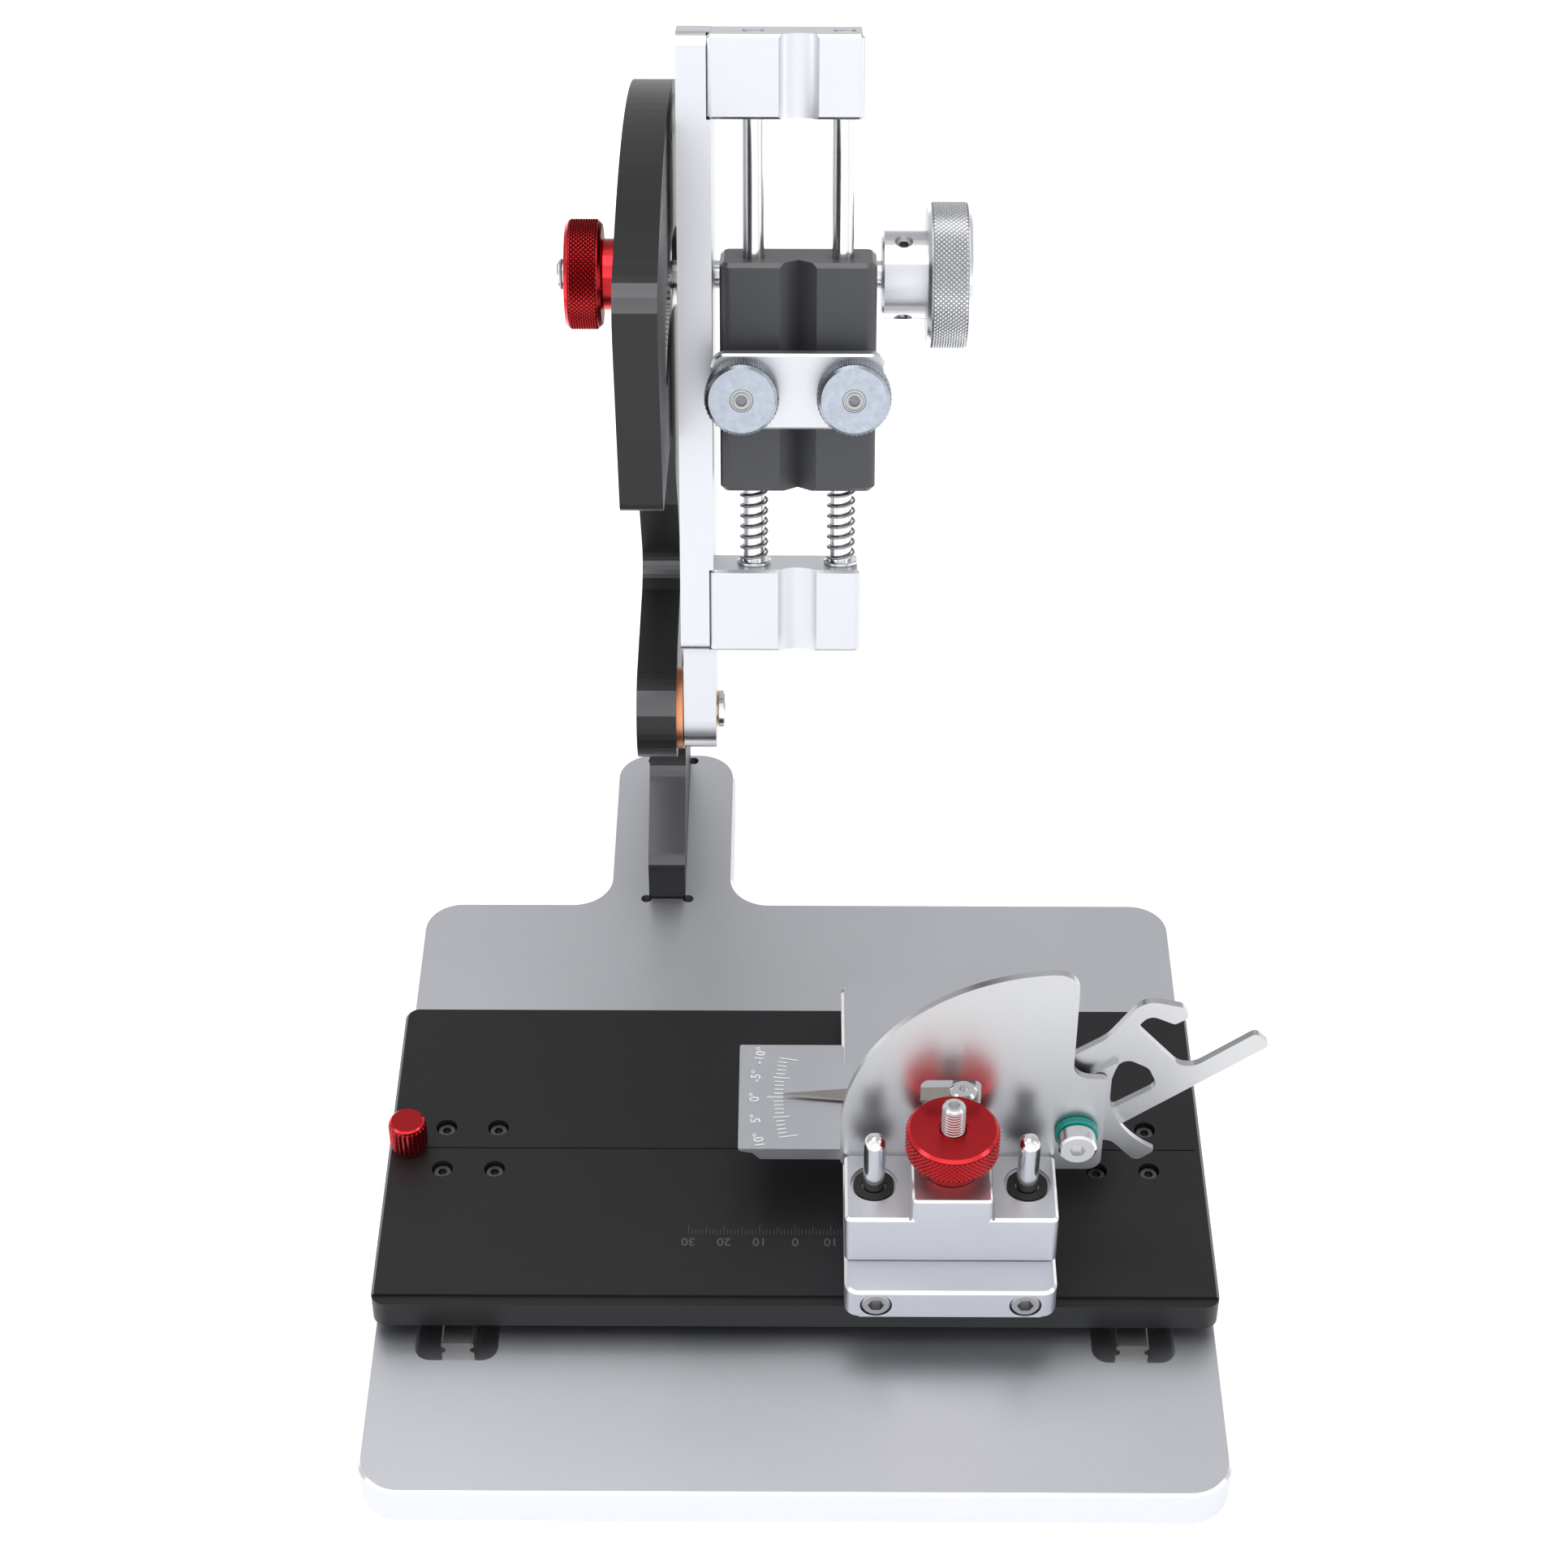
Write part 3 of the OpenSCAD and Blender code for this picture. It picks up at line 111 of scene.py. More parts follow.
class GaugeStage(bpy.types.PropertyGroup):
    key: FloatProperty(name="Key light", description="Power of the large light", default=5, min=0,
                       subtype="POWER")
    fill: FloatProperty(name="Fill light", description="Power of the side lights", default=3.5,
                        min=0, subtype="POWER")
    sky: FloatProperty(name="Sky", description="Strength of the white room overhead", default=0.6,
                       min=0)
    front: FloatProperty(name="Front", description="Added strength of the white room in front",
                         default=1.0, min=0)


# --------------------------------------------------------------- materials

class Value:
    """A shader socket that adds up, multiplies and compares as Python does."""

    def __init__(self, finish, socket):
        self.finish, self.socket = finish, socket

    def _maths(self, operation, *values):
        return Value(self.finish, self.finish.node("ShaderNodeMath", {"operation": operation},
                                                   dict(enumerate(values))).outputs[0])

    def __add__(self, other): return self._maths("ADD", self, other)
    def __radd__(self, other): return self._maths("ADD", other, self)
    def __sub__(self, other): return self._maths("SUBTRACT", self, other)
    def __rsub__(self, other): return self._maths("SUBTRACT", other, self)
    def __mul__(self, other): return self._maths("MULTIPLY", self, other)
    def __rmul__(self, other): return self._maths("MULTIPLY", other, self)
    def __gt__(self, other): return self._maths("GREATER_THAN", self, other)
    def __lt__(self, other): return self._maths("LESS_THAN", self, other)
    def __abs__(self): return self._maths("ABSOLUTE", self)

    def clamp(self):
        return self._maths("MINIMUM", self._maths("MAXIMUM", self, 0.0), 1.0)


class Nodes:
    """A node tree and the one way its nodes are made."""

    def __init__(self, tree):
        self.tree = tree

    def node(self, kind, settings=None, sockets=None):
        made = self.tree.nodes.new(kind)
        for key, value in (settings or {}).items():
            setattr(made, key, value)
        for key, value in (sockets or {}).items():
            if isinstance(value, Value):
                value = value.socket
            if isinstance(value, bpy.types.NodeSocket):
                self.tree.links.new(value, made.inputs[key])
            else:
                made.inputs[key].default_value = value
        return made


class Finish(Nodes):
    """One material."""

    def __init__(self, name, tilt=0.0, **fixed):
        self.material = bpy.data.materials.new(name)
        self.material.use_nodes = True
        super().__init__(self.material.node_tree)
        self.shader = self.tree.nodes["Principled BSDF"]
        self.tilt = tilt
        for key, value in fixed.items():
            self.shader.inputs[key.replace("_", " ").title()].default_value = value

    def place(self):
        return self.node("ShaderNodeTexCoord").outputs["Object"]

    def noise(self, scale, detail=2.0, roughness=0.5, stretch=None):
        where = self.place()
        if stretch:
            where = self.node("ShaderNodeMapping",
                              sockets={"Vector": where, "Scale": stretch}).outputs[0]
        made = self.node("ShaderNodeTexNoise", sockets={
            "Vector": where, "Scale": scale, "Detail": detail, "Roughness": roughness})
        return Value(self, made.outputs["Fac"])

    def chamfer(self):
        """1 on faces that lean between two of the piece's own axes, such as chamfers."""
        normal = self.node("ShaderNodeTexCoord").outputs["Normal"]
        if self.tilt:
            normal = self.node("ShaderNodeVectorRotate", {"rotation_type": "X_AXIS"},
                               {"Vector": normal, "Angle": self.tilt}).outputs[0]
        x, y, z = (Value(self, s) for s in
                   self.node("ShaderNodeSeparateXYZ", sockets={0: normal}).outputs)
        lean = abs(x * y) + abs(y * z) + abs(x * z)
        steep = abs(x * z) + abs(y * z) + abs(x * y) * 0.55
        return (lean > 0.4) * (steep > 0.36)

    def mix(self, factor, a, b):
        made = self.node("ShaderNodeMix", {"data_type": "RGBA"}, {0: factor})
        for index, value in ((6, a), (7, b)):
            if isinstance(value, bpy.types.NodeSocket):
                self.tree.links.new(value, made.inputs[index])
            else:
                made.inputs[index].default_value = (*value, 1)
        return made.outputs[2]

    def paint(self, **links):
        for key, value in links.items():
            socket = value.socket if isinstance(value, Value) else value
            self.tree.links.new(socket, self.shader.inputs[key.replace("_", " ").title()])

    def bump(self, height, strength, distance):
        made = self.node("ShaderNodeBump", sockets={
            "Height": height, "Strength": strength, "Distance": distance})
        self.tree.links.new(made.outputs[0], self.shader.inputs["Normal"])


def shade(rgb, factor):
    return tuple(min(1.0, c * factor) for c in rgb)


def blasted(name, rgb, grain, rough, edge, spread, tilt=0.0, metal=1.0, bump=0.22):
    """Bead-blasted anodised metal: fine grain, soft patches and brighter cut chamfers."""
    finish = Finish(name, tilt, metallic=metal, roughness=rough)
    speck = finish.noise(grain, 3.0, 0.65)
    patch = finish.noise(26.0, 2.0)
    bright = (speck * spread + patch * spread * 0.35).clamp()
    body = finish.mix(bright, shade(rgb, 1 - spread * 0.55), shade(rgb, 1 + spread * 0.75))
    cut = finish.chamfer()
    finish.paint(base_color=finish.mix(cut, body, edge),
                 roughness=(patch * 0.08 + speck * 0.06 + (rough - 0.07)) * (1 - cut * 0.45))
    finish.bump(speck, bump, 0.00006)
    return finish.material


def turned(name, rgb, rough, lines=1400.0, metal=1.0, spread=0.12, axis="Z"):
    """Turned or ground metal with fine rings and faint handling marks."""
    finish = Finish(name, metallic=metal, roughness=rough)
    stretch = {"Z": (0.06, 0.06, 1.0), "X": (1.0, 0.06, 0.06)}[axis]
    rings = finish.noise(lines, 2.0, 0.5, stretch)
    marks = finish.noise(160.0, 4.0, 0.6)
    finish.paint(base_color=finish.mix((rings * 0.6 + marks * 0.4).clamp(),
                                       shade(rgb, 1 - spread), shade(rgb, 1 + spread)),
                 roughness=rings * 0.05 + marks * 0.1 + (rough - 0.07))
    finish.bump(rings, 0.08, 0.00003)
    return finish.material


def satin_sheet(name, rgb):
    """Rolled stainless sheet, softly reflecting, with a faint lengthwise grain."""
    finish = Finish(name, metallic=1.0, roughness=0.24)
    grain = finish.noise(900.0, 3.0, 0.6, (0.05, 1.0, 1.0))
    haze = finish.noise(34.0, 3.0, 0.55)
    finish.paint(base_color=finish.mix(haze, shade(rgb, 0.95), shade(rgb, 1.04)),
                 roughness=grain * 0.05 + haze * 0.08 + 0.25)
    finish.bump(grain, 0.05, 0.00002)
    return finish.material


def plated(name, rgb):
    """Zinc plate with a spangled, slightly blotched face."""
    finish = Finish(name, metallic=1.0, roughness=0.34)
    cells = finish.node("ShaderNodeTexVoronoi", sockets={"Vector": finish.place(), "Scale": 900.0})
    spangle = Value(finish, cells.outputs["Distance"])
    blotch = finish.noise(420.0, 5.0, 0.7)
    finish.paint(base_color=finish.mix((blotch * 1.5 - 0.25).clamp(), shade(rgb, 0.68),
                                       shade(rgb, 1.2)),
                 roughness=blotch * 0.3 + spangle * 0.1 + 0.14)
    finish.bump(blotch, 0.14, 0.00004)
    return finish.material


def knurled(name, rgb, rough):
    """Rolled knurl, with painted shade in its grooves and a painted highlight on its diamonds."""
    finish = Finish(name, metallic=1.0, roughness=rough)
    relief = Value(finish, finish.node("ShaderNodeAttribute",
                                       {"attribute_name": "relief"}).outputs["Fac"])
    wear = finish.noise(700.0, 3.0, 0.6)
    # relief paints shade into the grooves and a highlight onto the diamonds; wear adds random tone
    finish.paint(base_color=finish.mix((relief * 0.9 + wear * 0.2).clamp(), shade(rgb, 0.3),
                                       shade(rgb, 1.15)),
                 roughness=wear * 0.12 + (rough - 0.06))
    finish.bump(wear, 0.1, 0.00003)
    return finish.material


def moulded(name, rgb, rough, grain=1500.0):
    """Moulded plastic or rubber with a fine skin."""
    finish = Finish(name, metallic=0.0, roughness=rough)
    skin = finish.noise(grain, 3.0, 0.6)
    finish.paint(base_color=finish.mix(skin, shade(rgb, 0.85), shade(rgb, 1.15)),
                 roughness=skin * 0.12 + (rough - 0.06))
    finish.bump(skin, 0.12, 0.00004)
    return finish.material


def engraved(name, rgb, rough=0.5, metal=0.2):
    """Cut or filled line work on a scale."""
    finish = Finish(name, metallic=metal, roughness=rough)
    wear = finish.noise(900.0, 3.0, 0.6)
    finish.paint(base_color=finish.mix(wear, shade(rgb, 0.86), shade(rgb, 1.12)),
                 roughness=wear * 0.15 + (rough - 0.07))
    return finish.material


MADE = {}


def finishes():
    """All the gauge's materials, made once."""
    if MADE:
        return MADE
    p = bpy.context.scene.gauge_finishes
    silver, black, red = tuple(p.silver), tuple(p.black), tuple(p.red)
    tilt = math.radians(90 - LIE_REST)
    edge = (0.93, 0.93, 0.94)
    MADE.update(
        silver=blasted("silver_anodised", silver, p.grain, 0.4, edge, 0.34),
        silver_arm=blasted("silver_anodised_arm", silver, p.grain, 0.4, edge, 0.34, tilt),
        black=blasted("black_anodised", black, p.grain * 0.9, 0.42, (0.09, 0.09, 0.095), 0.5,
                      metal=0.35, bump=0.2),
        # painted light: a lightened copy of the black anodise, for the clamp block
        black_arm=blasted("black_anodised_arm_lit", shade(black, ARM_BLACK_LIT), p.grain * 0.9, 0.45,
                          (0.12, 0.12, 0.125), 0.5, tilt, metal=0.35, bump=0.2),
        red=blasted("red_anodised", red, p.grain, 0.3, shade(red, 1.5), 0.2, bump=0.1),
        # painted highlight: the silver knurl is the silver lightened 1.2 times
        knurl_silver=knurled("knurled_silver", shade(silver, 1.2), 0.34),
        knurl_red=knurled("knurled_red", red, 0.3),
        knurl_zinc=knurled("knurled_zinc", (0.5, 0.53, 0.57), 0.34),
        steel=turned("ground_steel", (0.6, 0.59, 0.57), 0.34),
        screw=turned("screw_steel", (0.42, 0.42, 0.43), 0.32, 2200.0),
        dark_screw=turned("dark_screw", (0.13, 0.13, 0.135), 0.34, 2200.0),
        chrome=turned("polished_chrome", (0.72, 0.72, 0.73), 0.16, 1800.0, spread=0.06),
        chrome_x=turned("polished_shaft", (0.72, 0.72, 0.73), 0.16, 1800.0, spread=0.06, axis="X"),
        spring=turned("spring_wire", (0.3, 0.3, 0.31), 0.3, 2600.0),
        needle=turned("needle_steel", (0.4, 0.37, 0.34), 0.35, 1200.0, axis="X"),
        sheet=satin_sheet("satin_sheet", (0.56, 0.565, 0.575)),
        copper=turned("bare_copper", (0.7, 0.3, 0.16), 0.35),
        bronze=turned("sintered_bronze", (0.6, 0.42, 0.2), 0.45, 900.0),
        zinc=plated("zinc_plate", tuple(p.zinc)),
        teal=moulded("teal_ring", tuple(p.teal), 0.28),
        plastic=moulded("black_plastic", (0.018, 0.018, 0.018), 0.45),
        rubber=moulded("black_rubber", (0.012, 0.012, 0.012), 0.6, 900.0),
        white_line=engraved("bright_line", (0.92, 0.92, 0.92), 0.45, 0.3),
        dark_line=engraved("line_shadow", (0.16, 0.16, 0.17), 0.5, 0.5),
        grey_line=engraved("grey_line", (0.085, 0.085, 0.09), 0.55, 0.2),
    )
    return MADE


NODE_FINISH = {
    "silver": ("base_plate saddle_plate head_block face_plate swivel_bracket"),
    "silver_arm": ("arm_plate lower_block upper_block clamp_plate lie_knob"),
    "black": "column cross_table",
    "black_arm": "clamp_block",
    "red": "head_knob table_lock_knob lie_lock_knob",
    "steel": ("rail_left rail_right carriage_left carriage_right lie_rack lie_pinion "
              "linear_bearings"),
    "dark_screw": "rail_screws carriage_screws",
    "screw": ("column_screws gib_screws quadrant_screws bracket_screws "
              "block_screws knob_set_screws pivot_nut loft_pivot_nut lock_washer"),
    "chrome": ("guide_pins lift_stud guide_rods spring_seats loft_pivot_screw face_pivot_pin "
               "needle_screw"),
    "chrome_x": "pinion_shaft pivot_pin",
    "spring": "shaft_springs",
    "needle": "needle_pointer",
    "sheet": "loft_quadrant loft_lever loft_finger",
    "copper": "thrust_washer",
    "bronze": "pivot_bush",
    "zinc": "thumb_screw_left thumb_screw_right",
    "teal": "friction_ring",
    "plastic": "carriage_caps rod_bushes",
    "rubber": "bearing_seals",
}


# --------------------------------------------------------------- modelling

def clear_selection():
    if bpy.context.object and bpy.context.object.mode != "OBJECT":
        bpy.ops.object.mode_set(mode="OBJECT")
    bpy.ops.object.select_all(action="DESELECT")


def settle(piece, name, body, finish, where=None):
    """Puts a piece in its place, with the place in its mesh, and makes it ride."""
    clear_selection()
    piece.select_set(True)
    bpy.context.view_layer.objects.active = piece
    if where is not None:
        piece.matrix_world = where
    bpy.ops.object.transform_apply(location=True, rotation=True, scale=True)
    piece.name = name
    piece.data.name = name
    piece.data.materials.clear()
    piece.data.materials.append(finishes()[finish])
    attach(piece, body)
    return piece


def lined_up(centre, axis):
    """A matrix that takes Z to the axis, at the centre."""
    return Matrix.Translation(centre) @ Vector(axis).to_track_quat("Z", "Y").to_matrix().to_4x4()


def patterned_rim(radius, length, around, along, lift, pattern):
    """A short cylinder whose wall is cut into diamonds, flutes or thread rings."""
    clear_selection()
    bpy.ops.mesh.primitive_cylinder_add(vertices=around, radius=radius, depth=length,
                                        end_fill_type="NGON")
    piece = bpy.context.object
    bpy.ops.object.mode_set(mode="EDIT")
    mesh = bmesh.from_edit_mesh(piece.data)
    bpy.ops.mesh.select_mode(type="EDGE")
    bpy.ops.mesh.select_all(action="DESELECT")
    mesh = bmesh.from_edit_mesh(piece.data)
    for edge in mesh.edges:
        edge.select_set(abs(edge.verts[0].co.z - edge.verts[1].co.z) > length / 2)
    bmesh.update_edit_mesh(piece.data)
    bpy.ops.mesh.subdivide(number_cuts=along - 1)
    bpy.ops.mesh.select_mode(type="VERT")
    bpy.ops.mesh.select_all(action="DESELECT")
    mesh = bmesh.from_edit_mesh(piece.data)
    for vert in mesh.verts:
        i = round(math.atan2(vert.co.y, vert.co.x) / (2 * math.pi / around))
        j = round((vert.co.z + length / 2) / (length / along))
        raised = {"diamond": (i + j) % 2 == 1, "flute": i % 2 == 1, "ring": j % 2 == 1}[pattern]
        vert.select_set(raised and 0 < j < along)
    bmesh.update_edit_mesh(piece.data)
    factor = 1 + lift / radius
    bpy.ops.transform.resize(value=(factor, factor, 1), center_override=(0, 0, 0))
    bpy.ops.mesh.select_all(action="SELECT")
    bpy.ops.mesh.quads_convert_to_tris(quad_method="SHORTEST_DIAGONAL")
    bpy.ops.object.mode_set(mode="OBJECT")
    # relief is 1 on raised vertices: the knurl material paints a highlight there and shade in the
    # grooves
    relief = piece.data.attributes.new("relief", "FLOAT", "POINT")
    for vert, value in zip(piece.data.vertices, relief.data):
        value.value = float(math.hypot(vert.co.x, vert.co.y) > radius + lift * 0.5)
    return piece


def arm_point(x, along, out):
    """A point in the tilted arm's frame."""
    return Vector((x, PIVOT.y, PIVOT.z)) + UP_ARM * along + OFF_ARM * out


def knurl(name, body, finish, centre, axis, radius, length, pattern="diamond"):
    details = bpy.context.scene.gauge_details
    half = details.knurl_pitch / 2
    around = 4 * round(math.pi * radius / half / 2)
    along = 2 * max(2, round(length / half / 2))
    rim = patterned_rim(radius + 0.00002, length, around, along, details.knurl_height, pattern)
    return settle(rim, name, body, finish, lined_up(centre, axis))


def thread(name, body, centre, axis, radius, length, pitch, finish="screw"):
    sides = bpy.context.scene.gauge_details.thread_sides
    along = 2 * max(2, round(length / pitch))
    rim = patterned_rim(radius - pitch * 0.35, length, sides, along, pitch * 0.5, "ring")
    return settle(rim, name, body, finish, lined_up(centre, axis))


def strip(length, width, height):
    """One engraved line: a low bar with an inset loop on its top face, along X."""
    clear_selection()
    bpy.ops.mesh.primitive_cube_add(size=1)
    bar = bpy.context.object
    bar.scale = (length, width, height)
    bpy.ops.object.transform_apply(scale=True)
    bpy.ops.object.mode_set(mode="EDIT")
    bpy.ops.mesh.select_mode(type="FACE")
    bpy.ops.mesh.select_all(action="DESELECT")
    mesh = bmesh.from_edit_mesh(bar.data)
    for face in mesh.faces:
        face.select_set(face.normal.z > 0.9)
    bmesh.update_edit_mesh(bar.data)
    bpy.ops.mesh.inset(thickness=width * 0.14, depth=0)
    bpy.ops.object.mode_set(mode="OBJECT")
    return bar


def numeral(text, size, height):
    clear_selection()
    bpy.ops.object.text_add()
    made = bpy.context.object
    made.data.body = text
    made.data.size = size * 1.38
    made.data.align_x = "CENTER"
    made.data.align_y = "CENTER"
    made.data.extrude = height / 2
    made.data.offset = size * 0.012
    made.data.resolution_u = 6
    bpy.ops.object.convert(target="MESH")
    return bpy.context.object


def gather(parts):
    """Joins pieces into one, each with its own place applied first."""
    clear_selection()
    for part in parts:
        part.select_set(True)
    bpy.context.view_layer.objects.active = parts[0]
    bpy.ops.object.transform_apply(location=True, rotation=True, scale=True)
    if len(parts) > 1:
        bpy.ops.object.join()
    return bpy.context.object


def turned_to(angle, x, y, z):
    return Matrix.Translation((x, y, z)) @ Matrix.Rotation(angle, 4, "Z")


def scale_marks(ticks, labels, height, size):
    """Bars and numerals in the XY plane. A tick is (x, y, angle, length, width)."""
    parts = []
    for x, y, angle, length, width in ticks:
        bar = strip(length, width, height)
        bar.matrix_world = turned_to(angle, x, y, 0)
        parts.append(bar)
    for text, x, y, angle in labels:
        figure = numeral(text, size, height)
        figure.matrix_world = turned_to(angle, x, y, 0)
        parts.append(figure)
    return gather(parts)


def polar(centre, radius, degrees):
    a = math.radians(degrees)
    return centre[0] + radius * math.cos(a), centre[1] + radius * math.sin(a)


# --------------------------------------------------------------- operators

class GAUGE_OT_finishes(bpy.types.Operator):
    """Give each made part its finish"""
    bl_idname = "gauge.finishes"
    bl_label = "Finishes"

    def execute(self, context):
        for finish, names in NODE_FINISH.items():
            for name in names.split():
                node = frame["nodes"][name]
                node.data.materials.clear()
                node.data.materials.append(finishes()[finish])
        return {"FINISHED"}


class GAUGE_OT_knurls(bpy.types.Operator):
    """Cut the diamond knurls and flutes on every knob"""
    bl_idname = "gauge.knurls"
    bl_label = "Knurls"

    def execute(self, context):
        low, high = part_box("head_knob")
        middle = Vector(((low.x + high.x) / 2, (low.y + high.y) / 2, high.z - 4.5 * MM))
        knurl("lift_knob_knurl", "lift_knob", "knurl_red", middle, (0, 0, 1),
              (high.x - low.x) / 2, 7.2 * MM)
        low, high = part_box("table_lock_knob")
        middle = Vector(((low.x + high.x) / 2, (low.y + high.y) / 2, high.z - 5.2 * MM))
        knurl("lock_knob_flutes", "table_lock", "knurl_red", middle, (0, 0, 1),
              (high.x - low.x) / 2, 8.8 * MM, "flute")
        low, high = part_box("lie_knob")
        middle = Vector((high.x - 6.15 * MM, (low.y + high.y) / 2, (low.z + high.z) / 2))
        knurl("lie_knob_knurl", "pinion", "knurl_silver", middle, (1, 0, 0),
              (high.z - low.z) / 2, 10.1 * MM)
        low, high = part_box("lie_lock_knob")
        middle = Vector((low.x + 5.1 * MM, (low.y + high.y) / 2, (low.z + high.z) / 2))
        knurl("lie_lock_knurl", "lie_lock", "knurl_red", middle, (1, 0, 0),
              (high.z - low.z) / 2, 8.2 * MM)
        for side in ("left", "right"):
            x = JOINTS["thumb_%s_turn" % side]["pos_m"][0]
            knurl("thumb_knurl_" + side, "thumb_" + side, "knurl_zinc",
                  arm_point(x, THUMB_ALONG, 47.8 * MM), OFF_ARM, 9.75 * MM, 7.2 * MM)
        return {"FINISHED"}


class GAUGE_OT_thumb_cores(bpy.types.Operator):
    """Set a ringed screw into the middle of each thumb screw"""
    bl_idname = "gauge.thumb_cores"
    bl_label = "Thumb screw cores"

    def execute(self, context):
        for side in ("left", "right"):
            clear_selection()
            bpy.ops.mesh.primitive_cylinder_add(vertices=48, radius=3.15 * MM, depth=1.3 * MM,
                                                end_fill_type="NGON")
            core = bpy.context.object
            bpy.ops.object.mode_set(mode="EDIT")
            bpy.ops.mesh.select_mode(type="FACE")
            bpy.ops.mesh.select_all(action="DESELECT")
            mesh = bmesh.from_edit_mesh(core.data)
            for face in mesh.faces:
                face.select_set(face.normal.z > 0.9)
            bmesh.update_edit_mesh(core.data)
            for inward, up in ((0.12, 0.12), (0.35, 0.0), (0.1, -0.45), (0.35, 0.0), (0.08, 0.4),
                               (0.3, 0.06), (0.25, 0.0), (0.05, -0.95)):
                bpy.ops.mesh.inset(thickness=inward * MM, depth=0)
                bpy.ops.transform.translate(value=(0, 0, up * MM))
            bpy.ops.object.mode_set(mode="OBJECT")
            x = JOINTS["thumb_%s_turn" % side]["pos_m"][0]
            settle(core, "thumb_core_" + side, "thumb_" + side, "screw",
                   lined_up(arm_point(x, THUMB_ALONG, 51.45 * MM), OFF_ARM))
        return {"FINISHED"}


class GAUGE_OT_springs(bpy.types.Operator):
    """Wind the two springs under the clamp"""
    bl_idname = "gauge.springs"
    bl_label = "Springs"

    def execute(self, context):
        wire, radius, turns = 0.4 * MM, 3.7 * MM, 7
        start, end = 53.7 * MM, 75.8 * MM
        coils = []
        for x in (-ROD_X, ROD_X):
            clear_selection()
            bpy.ops.mesh.primitive_circle_add(vertices=8, radius=wire, location=(radius, 0, 0),
                                              rotation=(math.pi / 2, 0, 0))
            coil = bpy.context.object
            bpy.ops.object.transform_apply(location=True, rotation=True, scale=True)
            screw = coil.modifiers.new("wind", "SCREW")
            screw.axis = "Z"
            screw.angle = 2 * math.pi * turns
            screw.screw_offset = end - start - 2 * wire
            screw.steps = screw.render_steps = 24 * turns
            bpy.ops.object.modifier_apply(modifier="wind")
            bpy.ops.object.mode_set(mode="EDIT")
            bpy.ops.mesh.select_mode(type="VERT")
            bpy.ops.mesh.select_all(action="DESELECT")
            bpy.ops.mesh.select_non_manifold()
            bpy.ops.mesh.fill_holes(sides=0)
            bpy.ops.mesh.select_all(action="SELECT")
            bpy.ops.mesh.normals_make_consistent(inside=False)
            bpy.ops.object.mode_set(mode="OBJECT")
            coil.matrix_world = lined_up(arm_point(x, start + wire, ROD_OUT), UP_ARM)
            coils.append(coil)
        pair = gather(coils)
        bpy.ops.object.shade_smooth_by_angle(angle=math.radians(60))
        pair.name = pair.data.name = "clamp_springs"
        pair.data.materials.clear()
        pair.data.materials.append(finishes()["spring"])
        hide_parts("shaft_springs")
        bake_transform(pair)
        return {"FINISHED"}


class GAUGE_OT_threads(bpy.types.Operator):
    """Cut the threads that show on the stud and the pinion shaft"""
    bl_idname = "gauge.threads"
    bl_label = "Threads"

    def execute(self, context):
        low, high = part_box("lift_stud")
        centre = Vector(((low.x + high.x) / 2, (low.y + high.y) / 2, high.z - 10.6 * MM))
        thread("stud_thread", "saddle", centre, (0, 0, 1), 3.08 * MM, 20 * MM, 1.0 * MM)
        low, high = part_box("pinion_shaft")
        centre = Vector((low.x + 7.6 * MM, (low.y + high.y) / 2, (low.z + high.z) / 2))
        thread("shaft_thread", "pinion", centre, (1, 0, 0), 4.25 * MM, 14 * MM, 1.25 * MM)
        return {"FINISHED"}


class GAUGE_OT_table_scale(bpy.types.Operator):
    """Letter the cross table's millimetre scale, read from behind the table"""
    bl_idname = "gauge.table_scale"
    bl_label = "Table scale"

    def execute(self, context):
        top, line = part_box("cross_table")[1].z, -38.6 * MM
        ticks = []
        for i in range(-30, 31):
            long = 3.6 if i % 10 == 0 else 2.8 if i % 5 == 0 else 1.9
            ticks.append((i * MM, line + (2.6 + long / 2) * MM, math.pi / 2, long * MM, 0.13 * MM))
        labels = [(str(abs(i)), i * MM, line, math.pi) for i in range(-30, 31, 10)]
        marks = scale_marks(ticks, labels, 0.04 * MM, 2.9 * MM)
        settle(marks, "table_scale", "table", "grey_line",
               Matrix.Translation((0, 0, top + LIFT)))
        return {"FINISHED"}


class GAUGE_OT_face_scale(bpy.types.Operator):
    """Letter the face plate's arc, ten degrees either way"""
    bl_idname = "gauge.face_scale"
    bl_label = "Face scale"

    def execute(self, context):
        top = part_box("face_plate")[1].z
        joint = Vector(JOINTS["face_swivel"]["pos_m"])
        centre = (joint.x, joint.y)
        size = bpy.context.scene.gauge_details.numeral
        ticks, labels = [], []
        for d in range(-10, 11):
            reach = 5.6 if d % 10 == 0 and d else 4.8 if d % 5 == 0 else 2.8
            inner = 86.4 - (2.9 if d % 10 == 0 and d else 1.4 if d % 5 == 0 and d else 0)
            x, y = polar(centre, (inner + reach / 2) * MM, 180 + d)
            ticks.append((x, y, math.radians(d), reach * MM, 0.42 * MM))
            if d % 5 == 0:
                text = "%d°" % d
                x, y = polar(centre, 94.6 * MM, 180 + d)
                labels.append((text, x, y, math.radians(90 + d)))
        for name, finish, extra, lift in (("face_scale_shadow", "dark_line", 0.16 * MM, 0.004 * MM),
                                          ("face_scale", "white_line", 0.0, 0.024 * MM)):
            wide = [(x, y, a, n + extra, w + extra) for x, y, a, n, w in ticks]
            marks = scale_marks(wide, labels, 0.03 * MM, size * 0.86 + extra * 0.8)
            shift = (0.0, -0.05 * MM, top + lift) if extra else (0, 0, top + lift)
            settle(marks, name, "face", finish, Matrix.Translation(shift))
        return {"FINISHED"}


